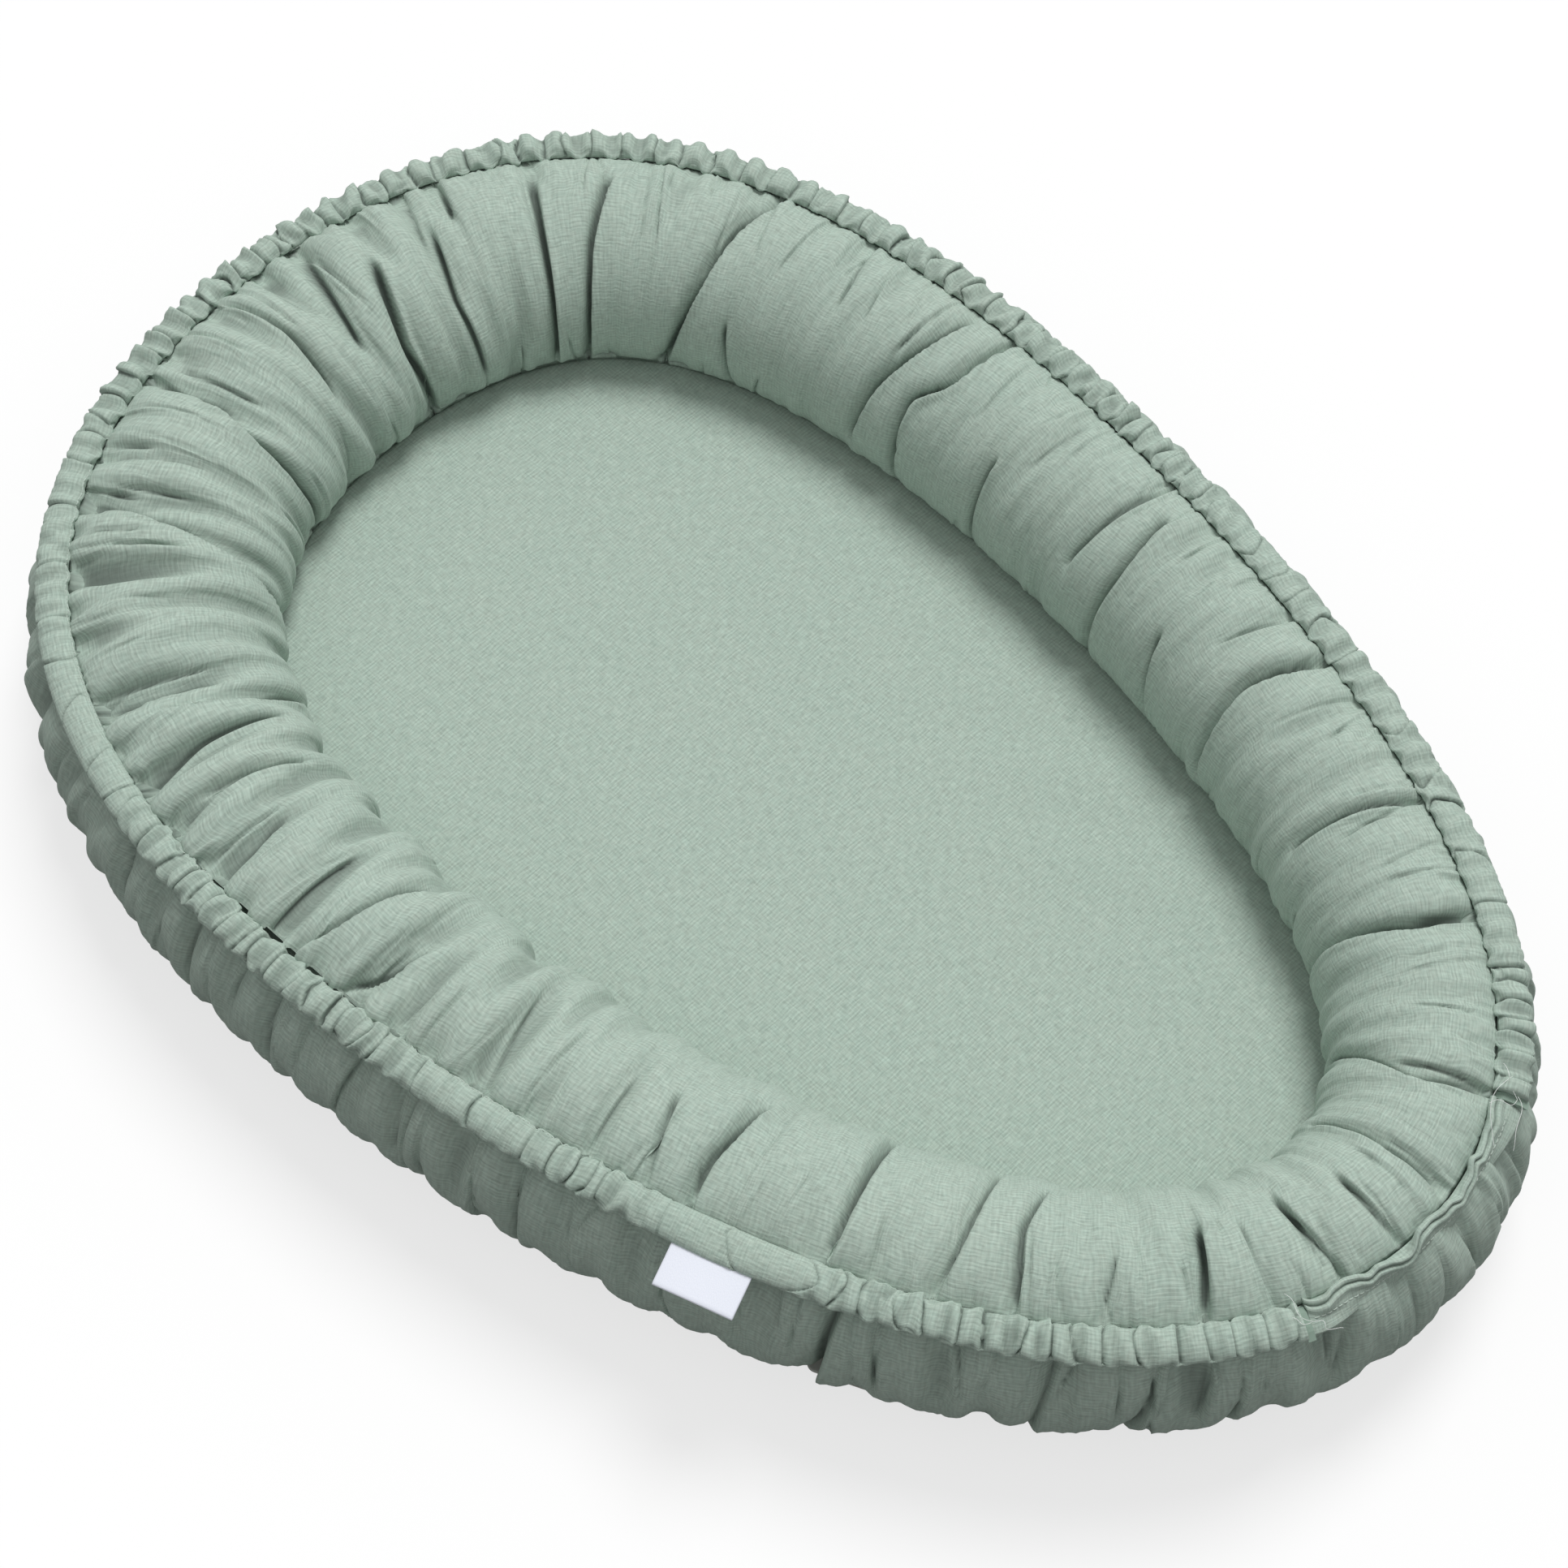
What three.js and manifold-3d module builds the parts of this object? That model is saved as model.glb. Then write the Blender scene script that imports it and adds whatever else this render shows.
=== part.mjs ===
// Infant lounger: a padded, egg-shaped ring round a flat lying surface, covered in gathered cotton muslin.
// Millimetres, +Z up, +Y towards the head end. The origin is under the middle of the outline, on the floor.
// A place round the ring is a share of one turn: 0 at the head, 0.25 on the +X side, 0.5 at the foot.
// An angle across the roll is 0 straight outwards, a right angle on top and a half turn towards the baby.
import * as THREE from "three";
import { mergeVertices } from "three/addons/utils/BufferGeometryUtils.js";
import Module from "manifold-3d";

const TURN = 2 * Math.PI;
const degrees = THREE.MathUtils.degToRad;

// Plan of the ring, along the middle of the roll
const PLAN_HALF_LENGTH = 371;
const PLAN_HALF_WIDTH = 226;
const EGG_SHARE = 0.094; // broadest place moved towards the head
const SHOULDER_SHARE = 0.016;
const SIDE_SHARE = 0.019; // one long side a little fuller than the other
const LEAN_SHARE = -0.016;
const FOOT_LONGER_SHARE = -0.01;
const BLUNT_SHARE = -0.027;

// The padded roll
const ROLL_HALF_WIDTH = 55.3;
const HEAD_FULLER = 7.9; // half-width added at the head and taken off at the foot
const RIGHT_SLIMMER = 2.5;
const ROLL_HALF_HEIGHT = 54.2;
const HEAD_LOWER = 2.9;
const RIGHT_LOWER = 1;
const FLOOR_FLAT = 0.5; // depth by which the roll settles flat on the floor
const SEAM_ANGLE = degrees(58.3); // the casing seam, above and outside the roll
const SEAM_HEAD_DROP = degrees(2.5);
const SEAM_RIGHT_RISE = degrees(5.6);
const SEAM_SIDE_RISE = degrees(5.9);
const CONTACT_ANGLE = degrees(203); // the seam where the roll meets the lying surface
const CLEARANCE = 0.3; // between pieces that touch

// The two halves of the gathered cover
const COVER_WALL = 2; // muslin with its wadding
const FOLD_RISE = 3; // fullness of a lobe above the roll's mean surface
const FOLD_DEPTH = 6; // deepest fold below it
const FOLD_SHOULDER = 6; // from a fold's valley to the shoulder of the lobe beside it
const SHOULDER_FULL_SHARE = 0.8;
const SHOULDER_LIMIT_SHARE = 0.33; // of the space between two folds
const SEAM_FULL_SHARE = 0.25; // of the folds' depth, left where the cover is sewn down
const CREST_SPACE = 48; // a lobe gets a crest for each such length
// Folds across the top of the roll: place on the casing seam, drift towards the inner seam, depth
const TOP_FOLD_SHARES = [
  [0.012, -0.01, 0.5], [0.024, -0.007, 1], [0.044, -0.003, 0.7], [0.08, -0.002, 1], [0.105, -0.009, 0.9],
  [0.154, -0.022, 1], [0.211, -0.01, 1], [0.225, -0.008, 0.9], [0.275, 0, 1], [0.319, -0.003, 1],
  [0.358, -0.004, 0.7], [0.394, -0.006, 1], [0.452, -0.012, 0.6], [0.49, 0, 0.6], [0.536, 0.006, 0.7],
  [0.574, -0.002, 1], [0.622, -0.004, 0.7], [0.639, -0.008, 0.7], [0.663, -0.004, 1], [0.691, -0.004, 1],
  [0.74, 0.006, 0.5], [0.768, -0.008, 1], [0.784, -0.01, 0.8], [0.803, 0.002, 0.6], [0.829, 0.003, 0.8],
  [0.914, -0.022, 0.9], [0.932, 0, 0.5], [0.954, -0.005, 0.9], [0.985, -0.002, 0.8],
];
const WALL_PLEATS = 44; // soft upright pleats round the outside wall
const PLEAT_DRIFT_SHARE = 0.22; // of the pleats' pitch
const PLEAT_DEPTH_SHARE = 0.55;
const PLEAT_VARIATION_SHARE = 0.35;
const PLEAT_PLACE_PHASE = 2.4; // radians from pleat to pleat, so that none is like its neighbour
const PLEAT_DEPTH_PHASE = 1.7;
const WALL_HUMP_SHARE = 0.8;
const WALL_FOLD_END = degrees(-75); // the pleats die out before the floor
const TOP_OUTER_STEPS = 6;
const TOP_INNER_STEPS = 3;
const FLOOR_HALF_ANGLE = degrees(7); // the flat strip that rests on the floor
const SEAM_GAP = 0.6; // between the two halves of the cover

// Fibre filling of the roll
const FILLING_GAP = 1;
const FILLING_STATIONS = 80;

// The casing: a gathered tunnel of the same cloth along the seam, left flat round the foot
const CASING_WIDTH = 17;
const CASING_RISE = 4.4; // above its own middle line
const CASING_FALL = 2.8;
const CASING_DROP = degrees(12); // it leans out and a little down
const CASING_PUCKERS = 80;
const PUCKER_REACH = 1.6; // how far a pucker stands out beyond the casing's mean edge
const PUCKER_THICK_SHARE = 0.28;
const PUCKER_VARIATION_SHARE = 0.5;
const PUCKER_PHASE = 1.9; // radians from pucker to pucker
const FLAT_CASING_SHARE = 0.45; // thickness of the ungathered stretch
const FLAT_CASING_STATIONS = 18;
const FOOT_TACK_SHARES = [0.451, 0.549];
const TACK_WIDTH = 3;
const TACK_SIZE_SHARE = 0.94; // of the flat casing's section
const CASING_SEAT_GAP = 0.4;
// Outline of the tunnel in shares of its width, and of its rise or fall
const CASING_OUTLINE_SHARES = [[0, 0], [0.42, -0.71], [0.8, -1], [1, 0.1], [0.74, 0.95], [0.18, 1]];
const BORE_START_SHARE = 0.3;
const BORE_END_SHARE = 0.83;
const BORE_FALL = 0.55;
const BORE_RISE = 1.5;
const FLAT_BORE_SHARE = 0.3;

// Elastic in the casing
const ELASTIC_WIDTH = 8;
const ELASTIC_THICKNESS = 1;
const ELASTIC_STATIONS = 44;

// The lying surface, from the bottom up
const UNDER_SHEET_Z = 10;
const SHEET_THICKNESS = 1.5;
const PAD_BOTTOM_Z = 15;
const PAD_GAP = 0.5;
const BASE_EDGE_GAP = 1.2;
const BASE_STATIONS = 72;
const SHEET_CROWN = 4;
const CROWN_RING_SHARES = [0.93, 0.75, 0.4];

// Zip in the underside, which opens the pocket of the mattress pad
const ZIP_LENGTH = 420;
const ZIP_SLOT_HALF_WIDTH = 6;
const TAPE_INNER_X = 1.6;
const TAPE_WIDTH = 13.4;
const TAPE_THICKNESS = 0.7;
const TAPE_OVERHANG = 12;
const ROW_INNER_X = 0.6;
const ROW_OUTER_X = 3.6;
const ROW_SPINE = 1.2;
const ROW_HEIGHT = 2.3;
const COIL_TURNS = 42; // turns of one row, drawn coarser than the real coil
const TOOTH_START_SHARE = 0.125; // of the pitch
const TOOTH_LENGTH_SHARE = 0.5;
const ROW_SHIFT_SHARE = 0.25; // by which one row's teeth lie between the other's
const STOP_WIDTH = 8;
const STOP_LENGTH = 3;
const SLIDER_LENGTH = 14;
const SLIDER_WIDTH = 10;
const SLIDER_WAIST = 7.4;
const SLIDER_PLATE = 1.2;
const UPPER_PLATE_THICKNESS = 1;
const UPPER_PLATE_SHARE = 0.94; // of the lower plate's outline
const JOIN_OVERRUN = 0.3; // by which the slider's forms run into each other
const SLIDER_CLEARANCE = 0.6;
const SLIDER_NECK = 0.7;
const SLIDER_NECK_LENGTH = 5;
const FLANGE_THICKNESS = 0.8;
const FLANGE_HEIGHT = 2.4;
const BRIDGE_LENGTH = 9.6;
const BRIDGE_WIDTH = 2;
const BRIDGE_WALL = 0.8;
const BRIDGE_OPENING = 2.4;
const BRIDGE_POST = 1.2;
const PULLER_WIDTH = 7;
const PULLER_LENGTH = 26;
const PULLER_THICKNESS = 1.2;
const PULLER_WINDOW_HALF_WIDTH = 1.6;
const PULLER_WINDOW_LENGTH = 5.6;
const PULLER_ROUND = 2;

// Folded woven label on the long -X side, and the care label under the roll
const LABEL_WIDTH = 40;
const LABEL_DROP = 19; // beyond the casing's edge
const LABEL_CLOTH = 0.5;
const LABEL_FOLD_GAP = 0.5;
const LABEL_PLACE_SHARE = 0.6825;
const LABEL_LEAN = degrees(78); // it stands out stiffly from the casing
const LABEL_GAP = 0.4;
const CARE_LABEL_WIDTH = 35;
const CARE_LABEL_END = 38.5;
const CARE_LABEL_THICKNESS = 0.6;
const CARE_LABEL_PLACE_SHARE = 0.657;

// Fineness of the drawing
const OUTLINE_SAMPLES = 360;
const PLACE_SAMPLES = 720;
const CURVE_STEPS = 4;

const wasm = await Module();
wasm.setup();

// Plan curve and its outward direction at a place round the ring
function rawPlan(share) {
  const t = TURN * share;
  return new THREE.Vector2(
    PLAN_HALF_WIDTH * (Math.sin(t) + EGG_SHARE * Math.sin(2 * t) + SHOULDER_SHARE * Math.sin(3 * t)
      + SIDE_SHARE * Math.cos(2 * t) + LEAN_SHARE * Math.cos(t)),
    PLAN_HALF_LENGTH * (Math.cos(t) + FOOT_LONGER_SHARE * Math.cos(2 * t) + BLUNT_SHARE * Math.cos(3 * t)),
  );
}

function planSlope(share) {
  const t = TURN * share;
  return new THREE.Vector2(
    PLAN_HALF_WIDTH * (Math.cos(t) + 2 * EGG_SHARE * Math.cos(2 * t) + 3 * SHOULDER_SHARE * Math.cos(3 * t)
      - 2 * SIDE_SHARE * Math.sin(2 * t) - LEAN_SHARE * Math.sin(t)),
    PLAN_HALF_LENGTH * (-Math.sin(t) - 2 * FOOT_LONGER_SHARE * Math.sin(2 * t) - 3 * BLUNT_SHARE * Math.sin(3 * t)),
  ).multiplyScalar(TURN);
}

function outwardAt(share) {
  const slope = planSlope(share).normalize();
  return new THREE.Vector2(-slope.y, slope.x);
}

function rollHalfWidth(share) {
  const t = TURN * share;
  return ROLL_HALF_WIDTH + HEAD_FULLER * Math.cos(t) - RIGHT_SLIMMER * Math.sin(t);
}

function rollHalfHeight(share) {
  const t = TURN * share;
  return ROLL_HALF_HEIGHT - HEAD_LOWER * Math.cos(t) - RIGHT_LOWER * Math.sin(t);
}

function seamAngle(share) {
  const t = TURN * share;
  return SEAM_ANGLE - SEAM_HEAD_DROP * Math.cos(t) + SEAM_RIGHT_RISE * Math.sin(t)
    - SEAM_SIDE_RISE * Math.cos(2 * t);
}

// The middle of the whole outline, which becomes the origin
function outlineMiddle() {
  const box = new THREE.Box2();
  for (let i = 0; i < OUTLINE_SAMPLES; i++) {
    const share = i / OUTLINE_SAMPLES;
    const reach = rollHalfWidth(share) + FOLD_RISE;
    box.expandByPoint(rawPlan(share).addScaledVector(outwardAt(share), reach));
  }
  return box.getCenter(new THREE.Vector2());
}
const MIDDLE = outlineMiddle();

// A point given by its distance outwards from the roll's middle line and its height
function placeAt(share, across, z) {
  const point = rawPlan(share).sub(MIDDLE).addScaledVector(outwardAt(share), across);
  return new THREE.Vector3(point.x, point.y, z);
}

// Across and height of the roll's section at an angle, grown outwards by a distance
function sectionAt(share, angle, grow, floor = 0) {
  const width = rollHalfWidth(share);
  const height = rollHalfHeight(share);
  const normal = new THREE.Vector2(Math.cos(angle) / width, Math.sin(angle) / height).normalize();
  return new THREE.Vector2(
    width * Math.cos(angle) + grow * normal.x,
    Math.max(floor, height - FLOOR_FLAT + height * Math.sin(angle) + grow * normal.y),
  );
}

function rollPoint(share, angle, grow, floor = 0) {
  const section = sectionAt(share, angle, grow, floor);
  return placeAt(share, section.x, section.y);
}

// How much of the folds' height stands at an angle: they are drawn in at both seams
function foldProfile(share, angle) {
  const seam = seamAngle(share);
  if (angle >= seam) {
    const across = THREE.MathUtils.clamp((angle - seam) / (CONTACT_ANGLE - seam), 0, 1);
    return SEAM_FULL_SHARE + (1 - SEAM_FULL_SHARE) * Math.sqrt(Math.max(0, Math.sin(Math.PI * across)));
  }
  const down = THREE.MathUtils.clamp((seam - angle) / (seam - WALL_FOLD_END), 0, 1);
  return WALL_HUMP_SHARE * Math.sqrt(Math.max(0, Math.sin(Math.PI * down))) + SEAM_FULL_SHARE * (1 - down);
}

function foldGrow(share, angle, fullness) {
  return foldProfile(share, angle) * ((FOLD_RISE + FOLD_DEPTH) * fullness - FOLD_DEPTH);
}

// Length of the roll's middle line for one whole turn of the share, at a place
const stretch = (share) => planSlope(share).length();

// A closed geometry from points and faces, turned so that its faces point out
function closedGeometry(points, faces) {
  let volume = 0;
  const corner = new THREE.Vector3();
  for (const [a, b, c] of faces) volume += points[a].dot(corner.crossVectors(points[b], points[c]));
  const index = faces.flatMap(([a, b, c]) => (volume < 0 ? [a, c, b] : [a, b, c]));
  const geometry = new THREE.BufferGeometry();
  geometry.setAttribute("position", new THREE.Float32BufferAttribute(points.flatMap((p) => p.toArray()), 3));
  geometry.setIndex(index);
  const flat = geometry.toNonIndexed();
  flat.computeVertexNormals();
  return flat;
}

// Faces between two closed loops of points with as many points each
function bridge(faces, from, to, count) {
  for (let j = 0; j < count; j++) {
    const next = (j + 1) % count;
    faces.push([from + j, from + next, to + next], [from + j, to + next, to + j]);
  }
}

// A ring that closes on itself, from the section at each station
function ringGeometry(sections) {
  const count = sections[0].length;
  const faces = [];
  sections.forEach((_, i) => bridge(faces, i * count, ((i + 1) % sections.length) * count, count));
  return closedGeometry(sections.flat(), faces);
}

// A run with two ends: a solid bar, or a tunnel when it has a bore with stations of its own
function runGeometry(sections, bore = []) {
  const count = sections[0].length;
  const faces = [];
  const points = sections.flat();
  for (let i = 0; i + 1 < sections.length; i++) bridge(faces, i * count, (i + 1) * count, count);
  const last = (sections.length - 1) * count;
  if (!bore.length) {
    for (let j = 1; j + 1 < count; j++) faces.push([0, j + 1, j], [last, last + j, last + j + 1]);
    return closedGeometry(points, faces);
  }
  const start = points.length;
  points.push(...bore.flat());
  for (let i = 0; i + 1 < bore.length; i++) {
    const wall = [];
    bridge(wall, start + i * count, start + (i + 1) * count, count);
    faces.push(...wall.map(([a, b, c]) => [a, c, b]));
  }
  bridge(faces, start, 0, count);
  bridge(faces, last, start + (bore.length - 1) * count, count);
  return closedGeometry(points, faces);
}

// A disc from rim loops, bottom to top, closed by a flat fan below and crowned rings above
function discGeometry(rims, middle, crownRings) {
  const count = rims[0].length;
  const loops = [...rims, ...crownRings];
  const faces = [];
  for (let i = 0; i + 1 < loops.length; i++) bridge(faces, i * count, (i + 1) * count, count);
  const points = loops.flat();
  const under = points.push(middle.bottom) - 1;
  const over = points.push(middle.top) - 1;
  const last = (loops.length - 1) * count;
  for (let j = 0; j < count; j++) {
    const next = (j + 1) % count;
    faces.push([under, next, j], [over, last + j, last + next]);
  }
  return closedGeometry(points, faces);
}

const evenShares = (count, from = 0, to = 1) =>
  Array.from({ length: count }, (_, i) => from + ((to - from) * i) / count);

// Stations of the upper cover: valley, shoulder, crest and shoulder of each fold
function topStations() {
  const stations = [];
  TOP_FOLD_SHARES.forEach(([place, drift, depth], i) => {
    const [nextPlace, nextDrift] = TOP_FOLD_SHARES[(i + 1) % TOP_FOLD_SHARES.length];
    const space = (nextPlace - place + 1) % 1;
    const shoulder = Math.min(FOLD_SHOULDER / stretch(place), space * SHOULDER_LIMIT_SHARE);
    stations.push({ place, drift, fullness: 1 - depth });
    stations.push({ place: place + shoulder, drift, fullness: SHOULDER_FULL_SHARE });
    const crests = Math.floor((space * stretch(place)) / CREST_SPACE);
    for (let k = 1; k <= crests; k++) {
      const part = k / (crests + 1);
      stations.push({ place: place + space * part, drift: drift + (nextDrift - drift) * part, fullness: 1 });
    }
    stations.push({ place: place + space - shoulder, drift: nextDrift, fullness: SHOULDER_FULL_SHARE });
  });
  return stations;
}

// Stations of the lower cover: valley and crest of each upright pleat
function wallStations() {
  const stations = [];
  for (let i = 0; i < WALL_PLEATS; i++) {
    const place = (i + PLEAT_DRIFT_SHARE * Math.sin(PLEAT_PLACE_PHASE * i)) / WALL_PLEATS;
    const nextDrift = PLEAT_DRIFT_SHARE * Math.sin(PLEAT_PLACE_PHASE * ((i + 1) % WALL_PLEATS));
    const nextPlace = (i + 1 + nextDrift) / WALL_PLEATS;
    const depth = PLEAT_DEPTH_SHARE + PLEAT_VARIATION_SHARE * Math.sin(PLEAT_DEPTH_PHASE * i);
    stations.push({ place, fullness: 1 - depth }, { place: (place + nextPlace) / 2, fullness: 1 });
  }
  return stations;
}

// Angles at which the two halves of the cover are drawn, outside and inside
const between = (from, to, shares) => shares.map((share) => from + (to - from) * share);
const seamGapAngle = (share) => SEAM_GAP / 2 / rollHalfHeight(share);
const topOuterAngles = (share) => between(seamAngle(share) + seamGapAngle(share),
  CONTACT_ANGLE - seamGapAngle(share), evenShares(TOP_OUTER_STEPS).concat(1));
const topInnerAngles = (share) => between(seamAngle(share) + seamGapAngle(share),
  CONTACT_ANGLE - seamGapAngle(share), evenShares(TOP_INNER_STEPS).concat(1));
const FLOOR_ANGLE = degrees(-90);
const INNER_SEAM_ANGLE = CONTACT_ANGLE - TURN;
const WALL_STEP_SHARES = [0, 0.19, 0.38, 0.58, 0.8];
const WALL_INNER_STEP_SHARES = [0, 0.38, 0.8];
const UNDER_STEP_SHARE = 0.5;
const floorEdge = FLOOR_ANGLE + FLOOR_HALF_ANGLE;
const floorInnerEdge = FLOOR_ANGLE - FLOOR_HALF_ANGLE;
const wallOuterAngles = (share) => [
  ...between(seamAngle(share) - seamGapAngle(share), floorEdge, WALL_STEP_SHARES),
  floorEdge,
  floorInnerEdge,
  floorInnerEdge + (INNER_SEAM_ANGLE - floorInnerEdge) * UNDER_STEP_SHARE,
  INNER_SEAM_ANGLE + seamGapAngle(share),
];
const wallInnerAngles = (share) => [
  ...between(seamAngle(share) - seamGapAngle(share), floorEdge, WALL_INNER_STEP_SHARES),
  FLOOR_ANGLE,
  INNER_SEAM_ANGLE + seamGapAngle(share),
];

function coverSection(outerAngles, innerAngles, station) {
  const { place, drift = 0, fullness } = station;
  const seam = seamAngle(place);
  const placeOf = (angle) => place + drift * Math.max(0, (angle - seam) / (CONTACT_ANGLE - seam));
  const outer = outerAngles(place).map((angle) =>
    rollPoint(placeOf(angle), angle, foldGrow(place, angle, fullness)));
  const inner = innerAngles(place).map((angle) =>
    rollPoint(placeOf(angle), angle, foldGrow(place, angle, fullness) - COVER_WALL, COVER_WALL));
  return [...outer, ...inner.reverse()];
}

const upperCover = () =>
  ringGeometry(topStations().map((station) => coverSection(topOuterAngles, topInnerAngles, station)));
const lowerCover = () =>
  ringGeometry(wallStations().map((station) => coverSection(wallOuterAngles, wallInnerAngles, station)));

// The filling follows the covers' inner faces at the depth of their deepest folds
function rollFilling() {
  return ringGeometry(evenShares(FILLING_STATIONS).map((share) => {
    const angles = [...topInnerAngles(share), ...wallInnerAngles(share).slice(1, -1).reverse().map((a) => a + TURN)];
    const level = COVER_WALL + FILLING_GAP;
    return angles.map((angle) => {
      const own = angle > CONTACT_ANGLE ? angle - TURN : angle;
      return rollPoint(share, angle, foldGrow(share, own, 0) - level, level);
    });
  }));
}

// Across, at a height, of the lower cover's face towards the middle: what the base is sewn and fitted to
function innerFaceAcross(share, z) {
  const path = wallOuterAngles(share).slice(-3).map((angle) => sectionAt(share, angle, 0));
  const part = path.findIndex((point, i) => i > 0 && point.y >= z);
  const end = part < 0 ? path.length - 1 : part;
  const [a, b] = [path[end - 1], path[end]];
  return a.x + ((b.x - a.x) * (z - a.y)) / (b.y - a.y);
}
const innerSeamZ = (share) => sectionAt(share, CONTACT_ANGLE, 0).y;
const lobeAtInnerSeam = FOLD_RISE * SEAM_FULL_SHARE;

const baseRim = (zAt, gap) => evenShares(BASE_STATIONS).map((share) => {
  const z = zAt(share);
  return placeAt(share, innerFaceAcross(share, Math.min(z, innerSeamZ(share))) - gap, z);
});

// A rim loop drawn in towards the middle, at heights given by the rim and the share of the way out
const drawnIn = (rim, share, zAt) =>
  rim.map((point) => new THREE.Vector3(point.x * share, point.y * share, zAt(point, share)));

const sheetMiddleZ = innerSeamZ(0) + SHEET_THICKNESS / 2 + SHEET_CROWN;
function crownZ(point, share) {
  const flat = CROWN_RING_SHARES[CROWN_RING_SHARES.length - 1];
  const out = THREE.MathUtils.clamp((share - flat) / (1 - flat), 0, 1);
  return THREE.MathUtils.lerp(sheetMiddleZ, point.z, out * out);
}

function topSheet() {
  const gap = BASE_EDGE_GAP + lobeAtInnerSeam;
  const lower = baseRim((share) => innerSeamZ(share) - SHEET_THICKNESS / 2, gap);
  const upper = baseRim((share) => innerSeamZ(share) + SHEET_THICKNESS / 2, gap);
  const crown = CROWN_RING_SHARES.map((share) => drawnIn(upper, share, crownZ));
  const underCrown = CROWN_RING_SHARES.map((share) =>
    drawnIn(upper, share, (point, out) => crownZ(point, out) - SHEET_THICKNESS)).reverse();
  const top = new THREE.Vector3(0, 0, sheetMiddleZ);
  const bottom = new THREE.Vector3(0, 0, sheetMiddleZ - SHEET_THICKNESS);
  return discGeometry([...underCrown, lower, upper], { bottom, top }, crown);
}

function mattressPad() {
  const topZ = (share) => innerSeamZ(share) - SHEET_THICKNESS / 2 - PAD_GAP;
  const middleZ = (share) => (PAD_BOTTOM_Z + topZ(share)) / 2;
  const rims = [() => PAD_BOTTOM_Z, middleZ, topZ].map((zAt) => baseRim(zAt, BASE_EDGE_GAP));
  rims[2] = baseRim(topZ, BASE_EDGE_GAP + lobeAtInnerSeam);
  const drop = SHEET_THICKNESS + PAD_GAP;
  const upper = baseRim((share) => innerSeamZ(share) + SHEET_THICKNESS / 2, BASE_EDGE_GAP + lobeAtInnerSeam);
  const crown = CROWN_RING_SHARES.map((share) => drawnIn(upper, share, (point, out) => crownZ(point, out) - drop));
  const top = new THREE.Vector3(0, 0, sheetMiddleZ - drop);
  return discGeometry(rims, { bottom: new THREE.Vector3(0, 0, PAD_BOTTOM_Z), top }, crown);
}

// A flat shape drawn in plan and raised to its height
const raised = (shape, z, thickness) =>
  new THREE.ExtrudeGeometry(shape, { depth: thickness, bevelEnabled: false, curveSegments: CURVE_STEPS })
    .translate(0, 0, z);

function rectangle(Kind, x0, y0, x1, y1) {
  return new Kind().moveTo(x0, y0).lineTo(x1, y0).lineTo(x1, y1).lineTo(x0, y1).closePath();
}

const SHEET_TOP_Z = UNDER_SHEET_Z + SHEET_THICKNESS;
const TAPE_Z = SHEET_TOP_Z + CLEARANCE;
const ROW_Z = SHEET_TOP_Z - ROW_HEIGHT;
const ZIP_HALF = ZIP_LENGTH / 2;
const STOP_Y = ZIP_HALF + CLEARANCE;

function underSheet() {
  const rim = baseRim(() => SHEET_TOP_Z, BASE_EDGE_GAP);
  const shape = new THREE.Shape(rim.map((point) => new THREE.Vector2(point.x, point.y)));
  const halfSlot = STOP_Y + STOP_LENGTH + CLEARANCE;
  shape.holes.push(rectangle(THREE.Path, -ZIP_SLOT_HALF_WIDTH, -halfSlot, ZIP_SLOT_HALF_WIDTH, halfSlot));
  return raised(shape, UNDER_SHEET_Z, SHEET_THICKNESS);
}

function zipTape(side) {
  const reach = ZIP_HALF + TAPE_OVERHANG;
  const xs = [side * TAPE_INNER_X, side * (TAPE_INNER_X + TAPE_WIDTH)].sort((a, b) => a - b);
  return raised(rectangle(THREE.Shape, xs[0], -reach, xs[1], reach), TAPE_Z, TAPE_THICKNESS);
}

// One row of the coil, as a comb: a spine under the tape with a tooth for each turn
function zipRow(side) {
  const pitch = ZIP_LENGTH / COIL_TURNS;
  const shift = side < 0 ? 0 : pitch * ROW_SHIFT_SHARE;
  const spineX = side * (ROW_OUTER_X - ROW_SPINE);
  const toothX = side * ROW_INNER_X;
  const shape = new THREE.Shape().moveTo(side * ROW_OUTER_X, -ZIP_HALF).lineTo(spineX, -ZIP_HALF);
  for (let i = 0; i < COIL_TURNS; i++) {
    const start = -ZIP_HALF + (i + TOOTH_START_SHARE) * pitch + shift;
    const end = start + pitch * TOOTH_LENGTH_SHARE;
    shape.lineTo(spineX, start).lineTo(toothX, start).lineTo(toothX, end).lineTo(spineX, end);
  }
  shape.lineTo(spineX, ZIP_HALF).lineTo(side * ROW_OUTER_X, ZIP_HALF).closePath();
  return raised(shape, ROW_Z, ROW_HEIGHT);
}

function zipStop(end) {
  const ys = [end * STOP_Y, end * (STOP_Y + STOP_LENGTH)].sort((a, b) => a - b);
  return raised(rectangle(THREE.Shape, -STOP_WIDTH / 2, ys[0], STOP_WIDTH / 2, ys[1]), ROW_Z, ROW_HEIGHT);
}

// Solids for the one piece that is joined from several forms
function solidOf(geometry) {
  const bare = geometry.clone();
  bare.deleteAttribute("normal");
  bare.deleteAttribute("uv");
  const merged = mergeVertices(bare);
  const triVerts = new Uint32Array(merged.index.array);
  return new wasm.Manifold(new wasm.Mesh({ numProp: 3, vertProperties: merged.attributes.position.array, triVerts }));
}

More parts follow.
